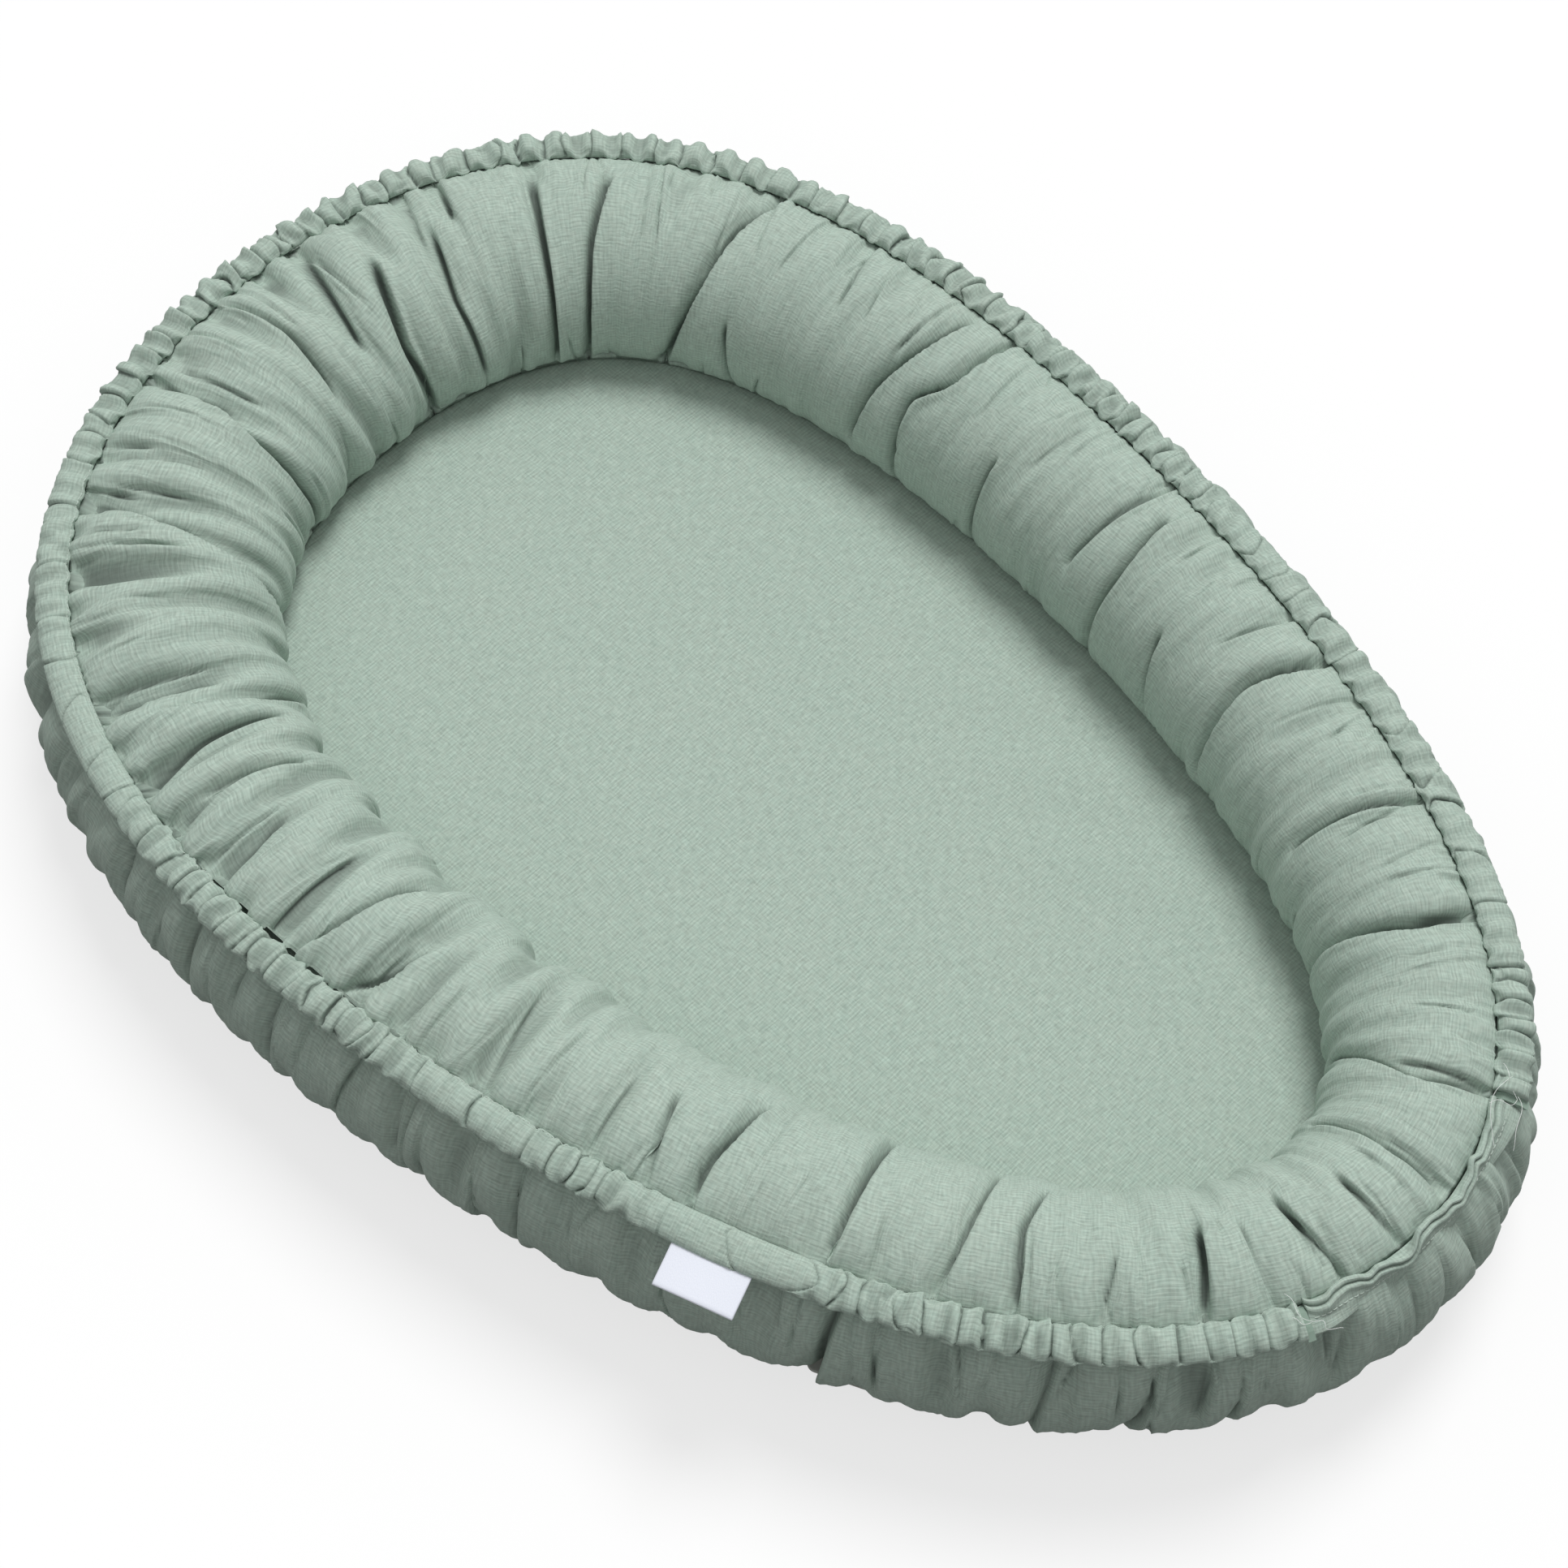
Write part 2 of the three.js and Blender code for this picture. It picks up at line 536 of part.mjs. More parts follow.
function geometryOf(solid) {
  const { vertProperties, triVerts } = solid.getMesh();
  const geometry = new THREE.BufferGeometry();
  geometry.setAttribute("position", new THREE.BufferAttribute(vertProperties, 3));
  geometry.setIndex(new THREE.BufferAttribute(triVerts, 1));
  const flat = geometry.toNonIndexed();
  flat.computeVertexNormals();
  return flat;
}

const box = (x, y, z, sizeX, sizeY, sizeZ) => new THREE.BoxGeometry(sizeX, sizeY, sizeZ).translate(x, y, z);

// Heights of the slider: a plate under the rows, a plate over the tapes, and the bridge of the puller
const LOWER_PLATE_TOP = ROW_Z - SLIDER_CLEARANCE;
const LOWER_PLATE_Z = LOWER_PLATE_TOP - SLIDER_PLATE;
const UPPER_PLATE_Z = TAPE_Z + TAPE_THICKNESS + SLIDER_CLEARANCE;
const BRIDGE_Z = LOWER_PLATE_Z - BRIDGE_OPENING - BRIDGE_WALL;
const PIVOT_Z = LOWER_PLATE_Z - BRIDGE_OPENING / 2;
const SLIDER_Y = ZIP_HALF - SLIDER_LENGTH / 2 - CLEARANCE;

// A slider plate: broad at the mouth, waisted where the rows leave it, with rounded corners
function sliderPlate(scale, z, thickness) {
  const [length, width, waist] = [SLIDER_LENGTH, SLIDER_WIDTH, SLIDER_WAIST].map((size) => (size / 2) * scale);
  const shape = new THREE.Shape()
    .moveTo(-waist, -length)
    .lineTo(waist, -length)
    .quadraticCurveTo(width, -length, width, 0)
    .quadraticCurveTo(width, length, 0, length)
    .quadraticCurveTo(-width, length, -width, 0)
    .quadraticCurveTo(-width, -length, -waist, -length);
  return raised(shape, z, thickness);
}

function zipSlider() {
  const neckFrom = LOWER_PLATE_TOP - JOIN_OVERRUN;
  const neckTo = UPPER_PLATE_Z + JOIN_OVERRUN;
  const flangeX = ROW_OUTER_X + SLIDER_CLEARANCE + FLANGE_THICKNESS / 2;
  const postHeight = BRIDGE_OPENING + BRIDGE_WALL + JOIN_OVERRUN;
  const postY = (BRIDGE_LENGTH - BRIDGE_POST) / 2;
  const forms = [
    sliderPlate(1, LOWER_PLATE_Z, SLIDER_PLATE),
    sliderPlate(UPPER_PLATE_SHARE, UPPER_PLATE_Z, UPPER_PLATE_THICKNESS),
    box(0, 0, (neckFrom + neckTo) / 2, SLIDER_NECK, SLIDER_NECK_LENGTH, neckTo - neckFrom),
    box(0, 0, BRIDGE_Z + BRIDGE_WALL / 2, BRIDGE_WIDTH, BRIDGE_LENGTH, BRIDGE_WALL),
    ...[-1, 1].map((end) => box(0, end * postY, BRIDGE_Z + postHeight / 2, BRIDGE_WIDTH, BRIDGE_POST, postHeight)),
    ...[-1, 1].map((side) => box(side * flangeX, 0, LOWER_PLATE_TOP + (FLANGE_HEIGHT - JOIN_OVERRUN) / 2,
      FLANGE_THICKNESS, SLIDER_NECK_LENGTH, FLANGE_HEIGHT + JOIN_OVERRUN)),
  ];
  return geometryOf(forms.map(solidOf).reduce((joined, solid) => joined.add(solid)));
}

// The puller: a flat tab whose window takes the bridge, with its cross bar at the origin
function zipPuller() {
  const half = PULLER_WIDTH / 2;
  const bar = PULLER_THICKNESS / 2;
  const end = PULLER_LENGTH - bar;
  const shape = new THREE.Shape()
    .moveTo(-half, -bar)
    .lineTo(half, -bar)
    .lineTo(half, end - PULLER_ROUND)
    .quadraticCurveTo(half, end, half - PULLER_ROUND, end)
    .lineTo(PULLER_ROUND - half, end)
    .quadraticCurveTo(-half, end, -half, end - PULLER_ROUND)
    .closePath();
  shape.holes.push(rectangle(THREE.Path, -PULLER_WINDOW_HALF_WIDTH, bar,
    PULLER_WINDOW_HALF_WIDTH, bar + PULLER_WINDOW_LENGTH));
  return raised(shape, -bar, PULLER_THICKNESS);
}

// Casing: its middle line starts just above the lobes at the seam and leans outwards
function casingPoint(share, along, up) {
  const seam = seamAngle(share);
  const root = sectionAt(share, seam, foldGrow(share, seam, 1) + CASING_SEAT_GAP);
  const across = root.x + along * Math.cos(CASING_DROP) + up * Math.sin(CASING_DROP);
  return placeAt(share, across, root.y - along * Math.sin(CASING_DROP) + up * Math.cos(CASING_DROP));
}

// One section of the tunnel; pucker runs from -1 in a valley to 1 on a crest
function casingSection(share, pucker, thicknessShare = 1, sizeShare = 1) {
  const width = CASING_WIDTH + PUCKER_REACH * pucker;
  const thick = thicknessShare * (1 + PUCKER_THICK_SHARE * pucker) * sizeShare;
  return CASING_OUTLINE_SHARES.map(([along, up]) =>
    casingPoint(share, width * (0.5 + (along - 0.5) * sizeShare), up * thick * (up < 0 ? CASING_FALL : CASING_RISE)));
}

// The bore has as many points as the tunnel, in pairs at its two edges
function boreSection(share, thicknessShare = 1) {
  const [start, end] = [BORE_START_SHARE * CASING_WIDTH, BORE_END_SHARE * CASING_WIDTH];
  const middle = (start + end) / 2;
  const [low, high] = [-BORE_FALL * thicknessShare, BORE_RISE * thicknessShare];
  const corners = [[start, low], [middle, low], [end, low], [end, high], [middle, high], [start, high]];
  return corners.map(([along, up]) => casingPoint(share, along, up));
}

// Where the label is caught in its edge the casing lies flat
function nearLabel(share) {
  const distance = (Math.abs(share - LABEL_PLACE_SHARE) * stretch(LABEL_PLACE_SHARE)) / LABEL_WIDTH;
  return THREE.MathUtils.smoothstep(distance, 0.5, 1);
}

const [tackAtRight, tackAtLeft] = FOOT_TACK_SHARES;
const gatherStart = tackAtLeft + TACK_WIDTH / 2 / stretch(tackAtLeft) + CLEARANCE / stretch(tackAtLeft);
const gatherEnd = 1 + tackAtRight - TACK_WIDTH / 2 / stretch(tackAtRight) - CLEARANCE / stretch(tackAtRight);
const flatStart = tackAtRight + TACK_WIDTH / 2 / stretch(tackAtRight) + CLEARANCE / stretch(tackAtRight);
const flatEnd = tackAtLeft - TACK_WIDTH / 2 / stretch(tackAtLeft) - CLEARANCE / stretch(tackAtLeft);

// Shares from one place to another, evenly spaced along the roll's middle line
function evenPlaces(from, to, count) {
  const places = evenShares(PLACE_SAMPLES, from, to).concat(to);
  const lengths = [0];
  for (let i = 1; i <= PLACE_SAMPLES; i++)
    lengths.push(lengths[i - 1] + stretch((places[i - 1] + places[i]) / 2) * (places[i] - places[i - 1]));
  const total = lengths[PLACE_SAMPLES];
  let at = 0;
  return Array.from({ length: count + 1 }, (_, k) => {
    const target = (total * k) / count;
    while (at + 1 < PLACE_SAMPLES && lengths[at + 1] < target) at++;
    const part = (target - lengths[at]) / (lengths[at + 1] - lengths[at]);
    return places[at] + (places[at + 1] - places[at]) * Math.min(1, part);
  });
}

function gatheredCasing() {
  const sections = evenPlaces(gatherStart, gatherEnd, 2 * CASING_PUCKERS).map((place, i) => {
    const share = place % 1;
    const strength = 1 - PUCKER_VARIATION_SHARE * (0.5 + 0.5 * Math.sin(PUCKER_PHASE * i));
    return casingSection(share, (i % 2 ? 1 : -1) * strength * nearLabel(share));
  });
  const bore = evenPlaces(gatherStart, gatherEnd, ELASTIC_STATIONS).map((place) => boreSection(place % 1));
  return runGeometry(sections, bore);
}

function flatCasing() {
  const places = evenPlaces(flatStart, flatEnd, FLAT_CASING_STATIONS);
  return runGeometry(places.map((share) => casingSection(share, 0, FLAT_CASING_SHARE)),
    places.map((share) => boreSection(share, FLAT_BORE_SHARE)));
}

function barTack(share) {
  const half = TACK_WIDTH / 2 / stretch(share);
  return runGeometry([share - half, share + half].map((place) =>
    casingSection(place, 0, FLAT_CASING_SHARE, TACK_SIZE_SHARE)));
}

function elasticBand() {
  const middle = ((BORE_START_SHARE + BORE_END_SHARE) / 2) * CASING_WIDTH;
  const height = (BORE_RISE - BORE_FALL) / 2;
  const corners = [[-1, -1], [1, -1], [1, 1], [-1, 1]];
  return runGeometry(evenPlaces(gatherStart, gatherEnd, ELASTIC_STATIONS).map((place) =>
    corners.map(([along, up]) => casingPoint(place % 1, middle + (along * ELASTIC_WIDTH) / 2,
      height + (up * ELASTIC_THICKNESS) / 2))));
}

// A piece drawn in the section plane, across and up, and drawn out along the ring at one place
function alongRing(shape, share, width) {
  const outward = outwardAt(share);
  const origin = placeAt(share, 0, 0);
  const along = new THREE.Vector3(-outward.y, outward.x, 0);
  const frame = new THREE.Matrix4().makeBasis(new THREE.Vector3(outward.x, outward.y, 0), new THREE.Vector3(0, 0, 1),
    along.negate()).setPosition(origin);
  return new THREE.ExtrudeGeometry(shape, { depth: width, bevelEnabled: false, curveSegments: CURVE_STEPS })
    .translate(0, 0, -width / 2).applyMatrix4(frame);
}

// The woven label: one strip folded in half at its lower edge, both ends caught in the casing's edge
function sideLabel() {
  const share = LABEL_PLACE_SHARE;
  const seam = seamAngle(share);
  const root = sectionAt(share, seam, foldGrow(share, seam, 1) + CASING_SEAT_GAP);
  const reach = CASING_WIDTH + LABEL_GAP;
  const top = new THREE.Vector2(root.x + reach * Math.cos(CASING_DROP), root.y - reach * Math.sin(CASING_DROP));
  const down = new THREE.Vector2(Math.sin(LABEL_LEAN), -Math.cos(LABEL_LEAN));
  const out = new THREE.Vector2(-down.y, down.x);
  const at = (drop, layer) => top.clone().addScaledVector(down, drop).addScaledVector(out, layer);
  const whole = 2 * LABEL_CLOTH + LABEL_FOLD_GAP;
  const bend = LABEL_DROP - LABEL_CLOTH;
  const points = [at(0, 0), at(bend, 0), at(LABEL_DROP, LABEL_CLOTH), at(LABEL_DROP, whole - LABEL_CLOTH),
    at(bend, whole), at(0, whole), at(0, whole - LABEL_CLOTH), at(bend - LABEL_CLOTH, whole - LABEL_CLOTH),
    at(bend - LABEL_CLOTH, LABEL_CLOTH), at(0, LABEL_CLOTH)];
  return alongRing(new THREE.Shape(points), share, LABEL_WIDTH);
}

// The care label lies on the floor and is sewn on where the outer wall lifts off it
function careLabel() {
  const share = CARE_LABEL_PLACE_SHARE;
  const top = CLEARANCE + CARE_LABEL_THICKNESS;
  const [low, high] = [floorEdge, wallOuterAngles(share)[WALL_STEP_SHARES.length - 1]].map((angle) =>
    sectionAt(share, angle, foldGrow(share, angle, 1)));
  const start = low.x + ((top + CLEARANCE - low.y) * (high.x - low.x)) / (high.y - low.y);
  return alongRing(rectangle(THREE.Shape, start, CLEARANCE, CARE_LABEL_END, top), share, CARE_LABEL_WIDTH);
}

const cloth = (color) => new THREE.MeshStandardMaterial({ color, roughness: 0.9, metalness: 0 });
const muslin = cloth(0xa5b6ab);
const muslinShade = cloth(0x9caea2);
const wadding = cloth(0xf2f1ec);
const elastic = cloth(0xe4e4df);
const stitching = cloth(0x93a69a);
const labelCloth = cloth(0xe4e7f2);
const careCloth = cloth(0x9fa39c);
const nylon = new THREE.MeshStandardMaterial({ color: 0x8fa096, roughness: 0.5, metalness: 0 });
const zinc = new THREE.MeshStandardMaterial({ color: 0xb4b6b8, roughness: 0.35, metalness: 1 });

const lounger = new THREE.Group();
function addPiece(name, geometry, material, parent = lounger) {
  const mesh = new THREE.Mesh(geometry, material);
  mesh.name = name;
  parent.add(mesh);
}

addPiece("bolster_cover_upper", upperCover(), muslin);
addPiece("bolster_cover_lower", lowerCover(), muslinShade);
addPiece("bolster_filling", rollFilling(), wadding);
addPiece("casing_gathered", gatheredCasing(), muslin);
addPiece("casing_foot", flatCasing(), muslin);
addPiece("elastic_band", elasticBand(), elastic);
addPiece("bar_tack_right", barTack(tackAtRight), stitching);
addPiece("bar_tack_left", barTack(tackAtLeft), stitching);
addPiece("base_sheet_top", topSheet(), muslin);
addPiece("mattress_pad", mattressPad(), wadding);
addPiece("base_sheet_under", underSheet(), muslinShade);
for (const [name, side] of [["left", -1], ["right", 1]]) {
  addPiece(`zip_tape_${name}`, zipTape(side), nylon);
  addPiece(`zip_coil_${name}`, zipRow(side), nylon);
}
addPiece("zip_stop_head", zipStop(1), nylon);
addPiece("zip_stop_foot", zipStop(-1), nylon);

// The slider and its puller share a frame at the closed end of the zip
const slider = new THREE.Group();
slider.position.set(0, SLIDER_Y, 0);
addPiece("zip_slider", zipSlider(), zinc, slider);
const puller = new THREE.Group();
puller.position.set(0, 0, PIVOT_Z);
addPiece("zip_puller", zipPuller(), zinc, puller);
slider.add(puller);
lounger.add(slider);

addPiece("side_label", sideLabel(), labelCloth);
addPiece("care_label", careLabel(), careCloth);

export default lounger;
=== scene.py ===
import math
import random

import bmesh
import bpy
import numpy as np
from mathutils import Matrix, Vector


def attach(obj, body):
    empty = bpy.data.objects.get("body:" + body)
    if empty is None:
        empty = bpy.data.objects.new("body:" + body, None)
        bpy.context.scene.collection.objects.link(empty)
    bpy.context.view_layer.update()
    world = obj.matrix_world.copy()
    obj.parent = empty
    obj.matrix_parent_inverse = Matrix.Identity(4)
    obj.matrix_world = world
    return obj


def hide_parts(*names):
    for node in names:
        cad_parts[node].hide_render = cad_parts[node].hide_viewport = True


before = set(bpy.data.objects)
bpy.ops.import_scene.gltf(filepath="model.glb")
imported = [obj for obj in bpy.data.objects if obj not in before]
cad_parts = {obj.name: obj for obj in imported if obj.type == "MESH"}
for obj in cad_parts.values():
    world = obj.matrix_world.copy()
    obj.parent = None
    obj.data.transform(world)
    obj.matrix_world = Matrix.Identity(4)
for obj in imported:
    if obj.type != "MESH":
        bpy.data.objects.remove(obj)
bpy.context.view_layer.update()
mm = 0.001
TURN = 2 * math.pi

# The camera stands high over the nest's left foot side, at the photograph's angle.
AZIMUTH = math.radians(-45.99)
ELEVATION = math.radians(59.87)
ROLL = 0.009
DISTANCE = 1882 * mm
TARGET = Vector((16.8, 12.95, 0)) * mm
FOCAL_PX = 4500
IMAGE_PX = 1932
SENSOR_MM = 36
back = Vector((
    math.sin(AZIMUTH) * math.cos(ELEVATION),
    -math.cos(AZIMUTH) * math.cos(ELEVATION),
    math.sin(ELEVATION),
))
right = (-back).cross(Vector((0, 0, 1))).normalized()
up = right.cross(-back)
across_image = right * math.cos(ROLL) + up * math.sin(ROLL)
up_image = up * math.cos(ROLL) - right * math.sin(ROLL)
camera_data = bpy.data.cameras.new("camera")
camera_data.sensor_fit = "HORIZONTAL"
camera_data.sensor_width = SENSOR_MM
camera_data.lens = FOCAL_PX / IMAGE_PX * SENSOR_MM
camera_data.clip_start = 0.05
camera = bpy.data.objects.new("camera", camera_data)
camera.matrix_world = Matrix.Translation(TARGET + back * DISTANCE) @ Matrix(
    (across_image, up_image, back)
).transposed().to_4x4()
bpy.context.scene.collection.objects.link(camera)
bpy.context.scene.camera = camera
bpy.context.scene.view_settings.view_transform = "Standard"


class Wire:
    """An output of a shader node. Sums and products of wires add Math nodes."""

    def __init__(self, tree, socket=None):
        self.tree = tree
        self.socket = socket

    def node(self, kind, settings, values, output=0):
        made = self.tree.nodes.new(kind)
        for name, value in settings.items():
            setattr(made, name, value)
        for name, value in values.items():
            if isinstance(value, Wire):
                self.tree.links.new(value.socket, made.inputs[name])
            else:
                made.inputs[name].default_value = value
        return Wire(self.tree, made.outputs[output] if made.outputs else None)

    def maths(self, operation, *values):
        return self.node("ShaderNodeMath", {"operation": operation}, dict(enumerate(values)))

    def __add__(self, other):
        return self.maths("ADD", self, other)

    def __sub__(self, other):
        return self.maths("SUBTRACT", self, other)

    def __rsub__(self, other):
        return self.maths("SUBTRACT", other, self)

    def __mul__(self, other):
        return self.maths("MULTIPLY", self, other)

    __radd__ = __add__
    __rmul__ = __mul__

    def blend(self, low, high):
        """A colour between two, by this wire."""
        mix = {"data_type": "RGBA"}
        return self.node("ShaderNodeMix", mix, {0: self, 6: low, 7: high}, 2)


def new_material(name):
    """A material with its output node only, and a wire to build on."""
    material = bpy.data.materials.new(name)
    material.use_nodes = True
    material.node_tree.nodes.clear()
    return material, Wire(material.node_tree)


def show(wire, shader):
    """Sends a shader to the material's surface."""
    wire.node("ShaderNodeOutputMaterial", {}, {"Surface": shader})


# Floor and light: a white sweep under the nest, a soft key from high on its right-hand side and an
# even white surround, together as bright on a level cloth as the cloth's own colour.
FLOOR_SIZE = 12
FLOOR_GLOW = 0.7
FLOOR_BOUNCE = (0.15, 0.15, 0.15, 1)
FLOOR_PAPER = (0.94, 0.94, 0.94, 1)
WHITE = (1, 1, 1, 1)
floor_material, start = new_material("studio_floor")
seen = start.node("ShaderNodeLightPath", {}, {}, "Is Camera Ray")
plain = start.node("ShaderNodeBsdfDiffuse", {}, {"Color": seen.blend(FLOOR_BOUNCE, FLOOR_PAPER)})
glow = start.node("ShaderNodeEmission", {}, {"Color": WHITE, "Strength": 1.0})
show(start, start.node("ShaderNodeMixShader", {}, {0: seen * FLOOR_GLOW, 1: plain, 2: glow}))
bm = bmesh.new()
bmesh.ops.create_grid(bm, x_segments=2, y_segments=2, size=FLOOR_SIZE / 2)
floor_mesh = bpy.data.meshes.new("floor")
bm.to_mesh(floor_mesh)
bm.free()
floor_mesh.materials.append(floor_material)
floor = bpy.data.objects.new("floor", floor_mesh)
bpy.context.scene.collection.objects.link(floor)

world = bpy.data.worlds.new("studio")
world.use_nodes = True
world.node_tree.nodes.clear()
start = Wire(world.node_tree)
rays = ("Is Camera Ray", "Is Glossy Ray", "Is Transmission Ray")
camera_ray, glossy_ray, clear_ray = [start.node("ShaderNodeLightPath", {}, {}, ray) for ray in rays]
white = start.maths("MAXIMUM", start.maths("MAXIMUM", camera_ray, glossy_ray), clear_ray)
WORLD_LIGHT = 0.46
level = white * (1 - WORLD_LIGHT) + WORLD_LIGHT
surround = start.node("ShaderNodeBackground", {}, {"Color": WHITE, "Strength": level})
start.node("ShaderNodeOutputWorld", {}, {"Surface": surround})
bpy.context.scene.world = world

KEY_TOWARDS = Vector((0.5, 0.22, 1.0)).normalized()
KEY_STRENGTH = 2.22
KEY_SOFTNESS = math.radians(26)
sun_data = bpy.data.lights.new("key", "SUN")
sun_data.energy = KEY_STRENGTH
sun_data.angle = KEY_SOFTNESS
sun = bpy.data.objects.new("key", sun_data)
sun.rotation_mode = "QUATERNION"
sun.rotation_quaternion = KEY_TOWARDS.to_track_quat("Z", "Y")
bpy.context.scene.collection.objects.link(sun)

# Fibre filling of the roll: a soft white core, oval in section, that the covers are pulled over.
# Everything round the ring is placed by a share of one turn, 0 at the head and 0.25 on the right,
# and by an angle round the roll, 0 straight outwards and a quarter turn on top.
PLAN_HALF_WIDTH = 226 * mm
PLAN_HALF_LENGTH = 371 * mm
ROLL_HALF_WIDTH = 55.3 * mm
ROLL_HALF_HEIGHT = 54.2 * mm
FOLD_RISE = 3 * mm
FLOOR_FLAT = 0.5 * mm
CONTACT_DEGREES = 203
CONTACT_ANGLE = math.radians(CONTACT_DEGREES)


def raw_plan(share):
    """The roll's middle line in plan, its outward direction, and its length per turn. The oval is a
    sum of a few waves round the turn, which make its head end wider than its foot end."""
    t = TURN * share
    x = PLAN_HALF_WIDTH * (np.sin(t) + 0.094 * np.sin(2 * t) + 0.016 * np.sin(3 * t)
                           + 0.019 * np.cos(2 * t) - 0.016 * np.cos(t))
    y = PLAN_HALF_LENGTH * (np.cos(t) - 0.01 * np.cos(2 * t) - 0.027 * np.cos(3 * t))
    dx = PLAN_HALF_WIDTH * (np.cos(t) + 0.188 * np.cos(2 * t) + 0.048 * np.cos(3 * t)
                            - 0.038 * np.sin(2 * t) + 0.016 * np.sin(t))
    dy = PLAN_HALF_LENGTH * (-np.sin(t) + 0.02 * np.sin(2 * t) + 0.081 * np.sin(3 * t))
    length = np.hypot(dx, dy)
    return x, y, -dy / length, dx / length, length * TURN


def half_width(share):
    """Half the roll's width, which is greatest at the head."""
    t = TURN * share
    return ROLL_HALF_WIDTH + 7.9 * mm * np.cos(t) - 2.5 * mm * np.sin(t)


def half_height(share):
    """Half the roll's height, which is greatest at the foot."""
    t = TURN * share
    return ROLL_HALF_HEIGHT - 2.9 * mm * np.cos(t) - 1 * mm * np.sin(t)


def seam_angle(share):
    """Where the casing is sewn on, above and outside the roll."""
    t = TURN * share
    return np.radians(58.3 - 2.5 * np.cos(t) + 5.6 * np.sin(t) - 5.9 * np.cos(2 * t))


SAMPLES = np.linspace(0, 1, 2001)
line_x, line_y, out_x, out_y, pace = raw_plan(SAMPLES)
reach = half_width(SAMPLES) + FOLD_RISE
MIDDLE_X = ((line_x + out_x * reach).min() + (line_x + out_x * reach).max()) / 2
MIDDLE_Y = ((line_y + out_y * reach).min() + (line_y + out_y * reach).max()) / 2
LENGTHS = np.concatenate([[0], np.cumsum((pace[1:] + pace[:-1]) / 2 * np.diff(SAMPLES))])
RING_LENGTH = LENGTHS[-1]


def share_at(length):
    """The share of the turn at a length along the roll's middle line from the head."""
    return np.interp(length % RING_LENGTH, LENGTHS, SAMPLES)


def length_at(share):
    """The length along the roll's middle line at a share of the turn."""
    return np.interp(share % 1, SAMPLES, LENGTHS)


def placed(share, across, height):
    """Points at a distance outwards from the roll's middle line, at a height."""
    x, y, out_x, out_y, _ = raw_plan(share)
    return np.stack([x - MIDDLE_X + out_x * across, y - MIDDLE_Y + out_y * across,
                     height + 0 * x], axis=-1)


def section(share, angle, grow):
    """Distance outwards and height of a point of the roll's section, grown by a distance."""
    width, height = half_width(share), half_height(share)
    nx, ny = np.cos(angle) / width, np.sin(angle) / height
    size = np.hypot(nx, ny)
    return (width * np.cos(angle) + grow * nx / size,
            height - FLOOR_FLAT + height * np.sin(angle) + grow * ny / size)


def cloth_grid(columns, rows):
    """A flat grid to be wrapped into a piece, and each vertex's part of its length and width."""
    bm = bmesh.new()
    bmesh.ops.create_grid(bm, x_segments=columns, y_segments=rows, size=0.5)
    flat = np.array([v.co[:2] for v in bm.verts]) + 0.5
    return bm, np.round(flat[:, 0] * columns) / columns, np.round(flat[:, 1] * rows) / rows


SEWN_SHUT = 0.002 * mm


def finish_mesh(bm, name, points, material, cloth=None):
    """Puts a grid's vertices in place, sews its seams shut and makes the object. A piece of cloth
    keeps its threads' own length and width, in metres, as its UV map."""
    mesh = bpy.data.meshes.new(name)
    for vertex, place in zip(bm.verts, points.tolist()):
        vertex.co = place
    bm.to_mesh(mesh)
    bm.free()
    if cloth is not None:
        corners = np.zeros(len(mesh.loops), np.int32)
        mesh.loops.foreach_get("vertex_index", corners)
        threads = np.stack(cloth, axis=1)[corners]
        mesh.uv_layers.new(name="cloth").data.foreach_set("uv", threads.astype(np.float32).ravel())
    bm = bmesh.new()
    bm.from_mesh(mesh)
    bmesh.ops.remove_doubles(bm, verts=bm.verts, dist=SEWN_SHUT)
    open_edges = [e for e in bm.edges if len(e.link_faces) == 1]
    bmesh.ops.holes_fill(bm, edges=open_edges, sides=0)
    bmesh.ops.recalc_face_normals(bm, faces=bm.faces)
    bm.to_mesh(mesh)
    bm.free()
    mesh.shade_smooth()
    mesh.materials.append(material)
    made = bpy.data.objects.new(name, mesh)
    bpy.context.scene.collection.objects.link(made)
    return made


CORE_GAP = 19 * mm
wadding, start = new_material("wadding")
place = start.node("ShaderNodeTexCoord", {}, {}, "Object")
fibres = start.node("ShaderNodeTexNoise", {}, {"Vector": place, "Scale": 160.0, "Detail": 8.0})
colour = fibres.blend((0.8, 0.79, 0.75, 1), (0.93, 0.92, 0.89, 1))
relief = start.node("ShaderNodeBump", {}, {"Height": fibres, "Distance": 0.002, "Strength": 0.7})
show(start, start.node("ShaderNodeBsdfPrincipled", {}, {
    "Base Color": colour, "Roughness": 0.95, "Normal": relief}))
bm, turn, girth = cloth_grid(200, 36)
share = share_at(turn * RING_LENGTH)
across, height = section(share, girth * TURN, -CORE_GAP)
filling = finish_mesh(bm, "roll_filling", placed(share, across, height), wadding)
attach(filling, "nest")
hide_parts("bolster_filling")

# Upper half of the cover: sage cotton muslin lined with wadding, gathered on to the casing seam and
# on to the lying surface, so that the fullness stands in lobes with deep tucks between them.
SAGE = (0.378, 0.468, 0.407)


def toned(colour, factor):
    """A lighter or darker tone of a colour."""
    return tuple(c * factor for c in colour) + (1,)


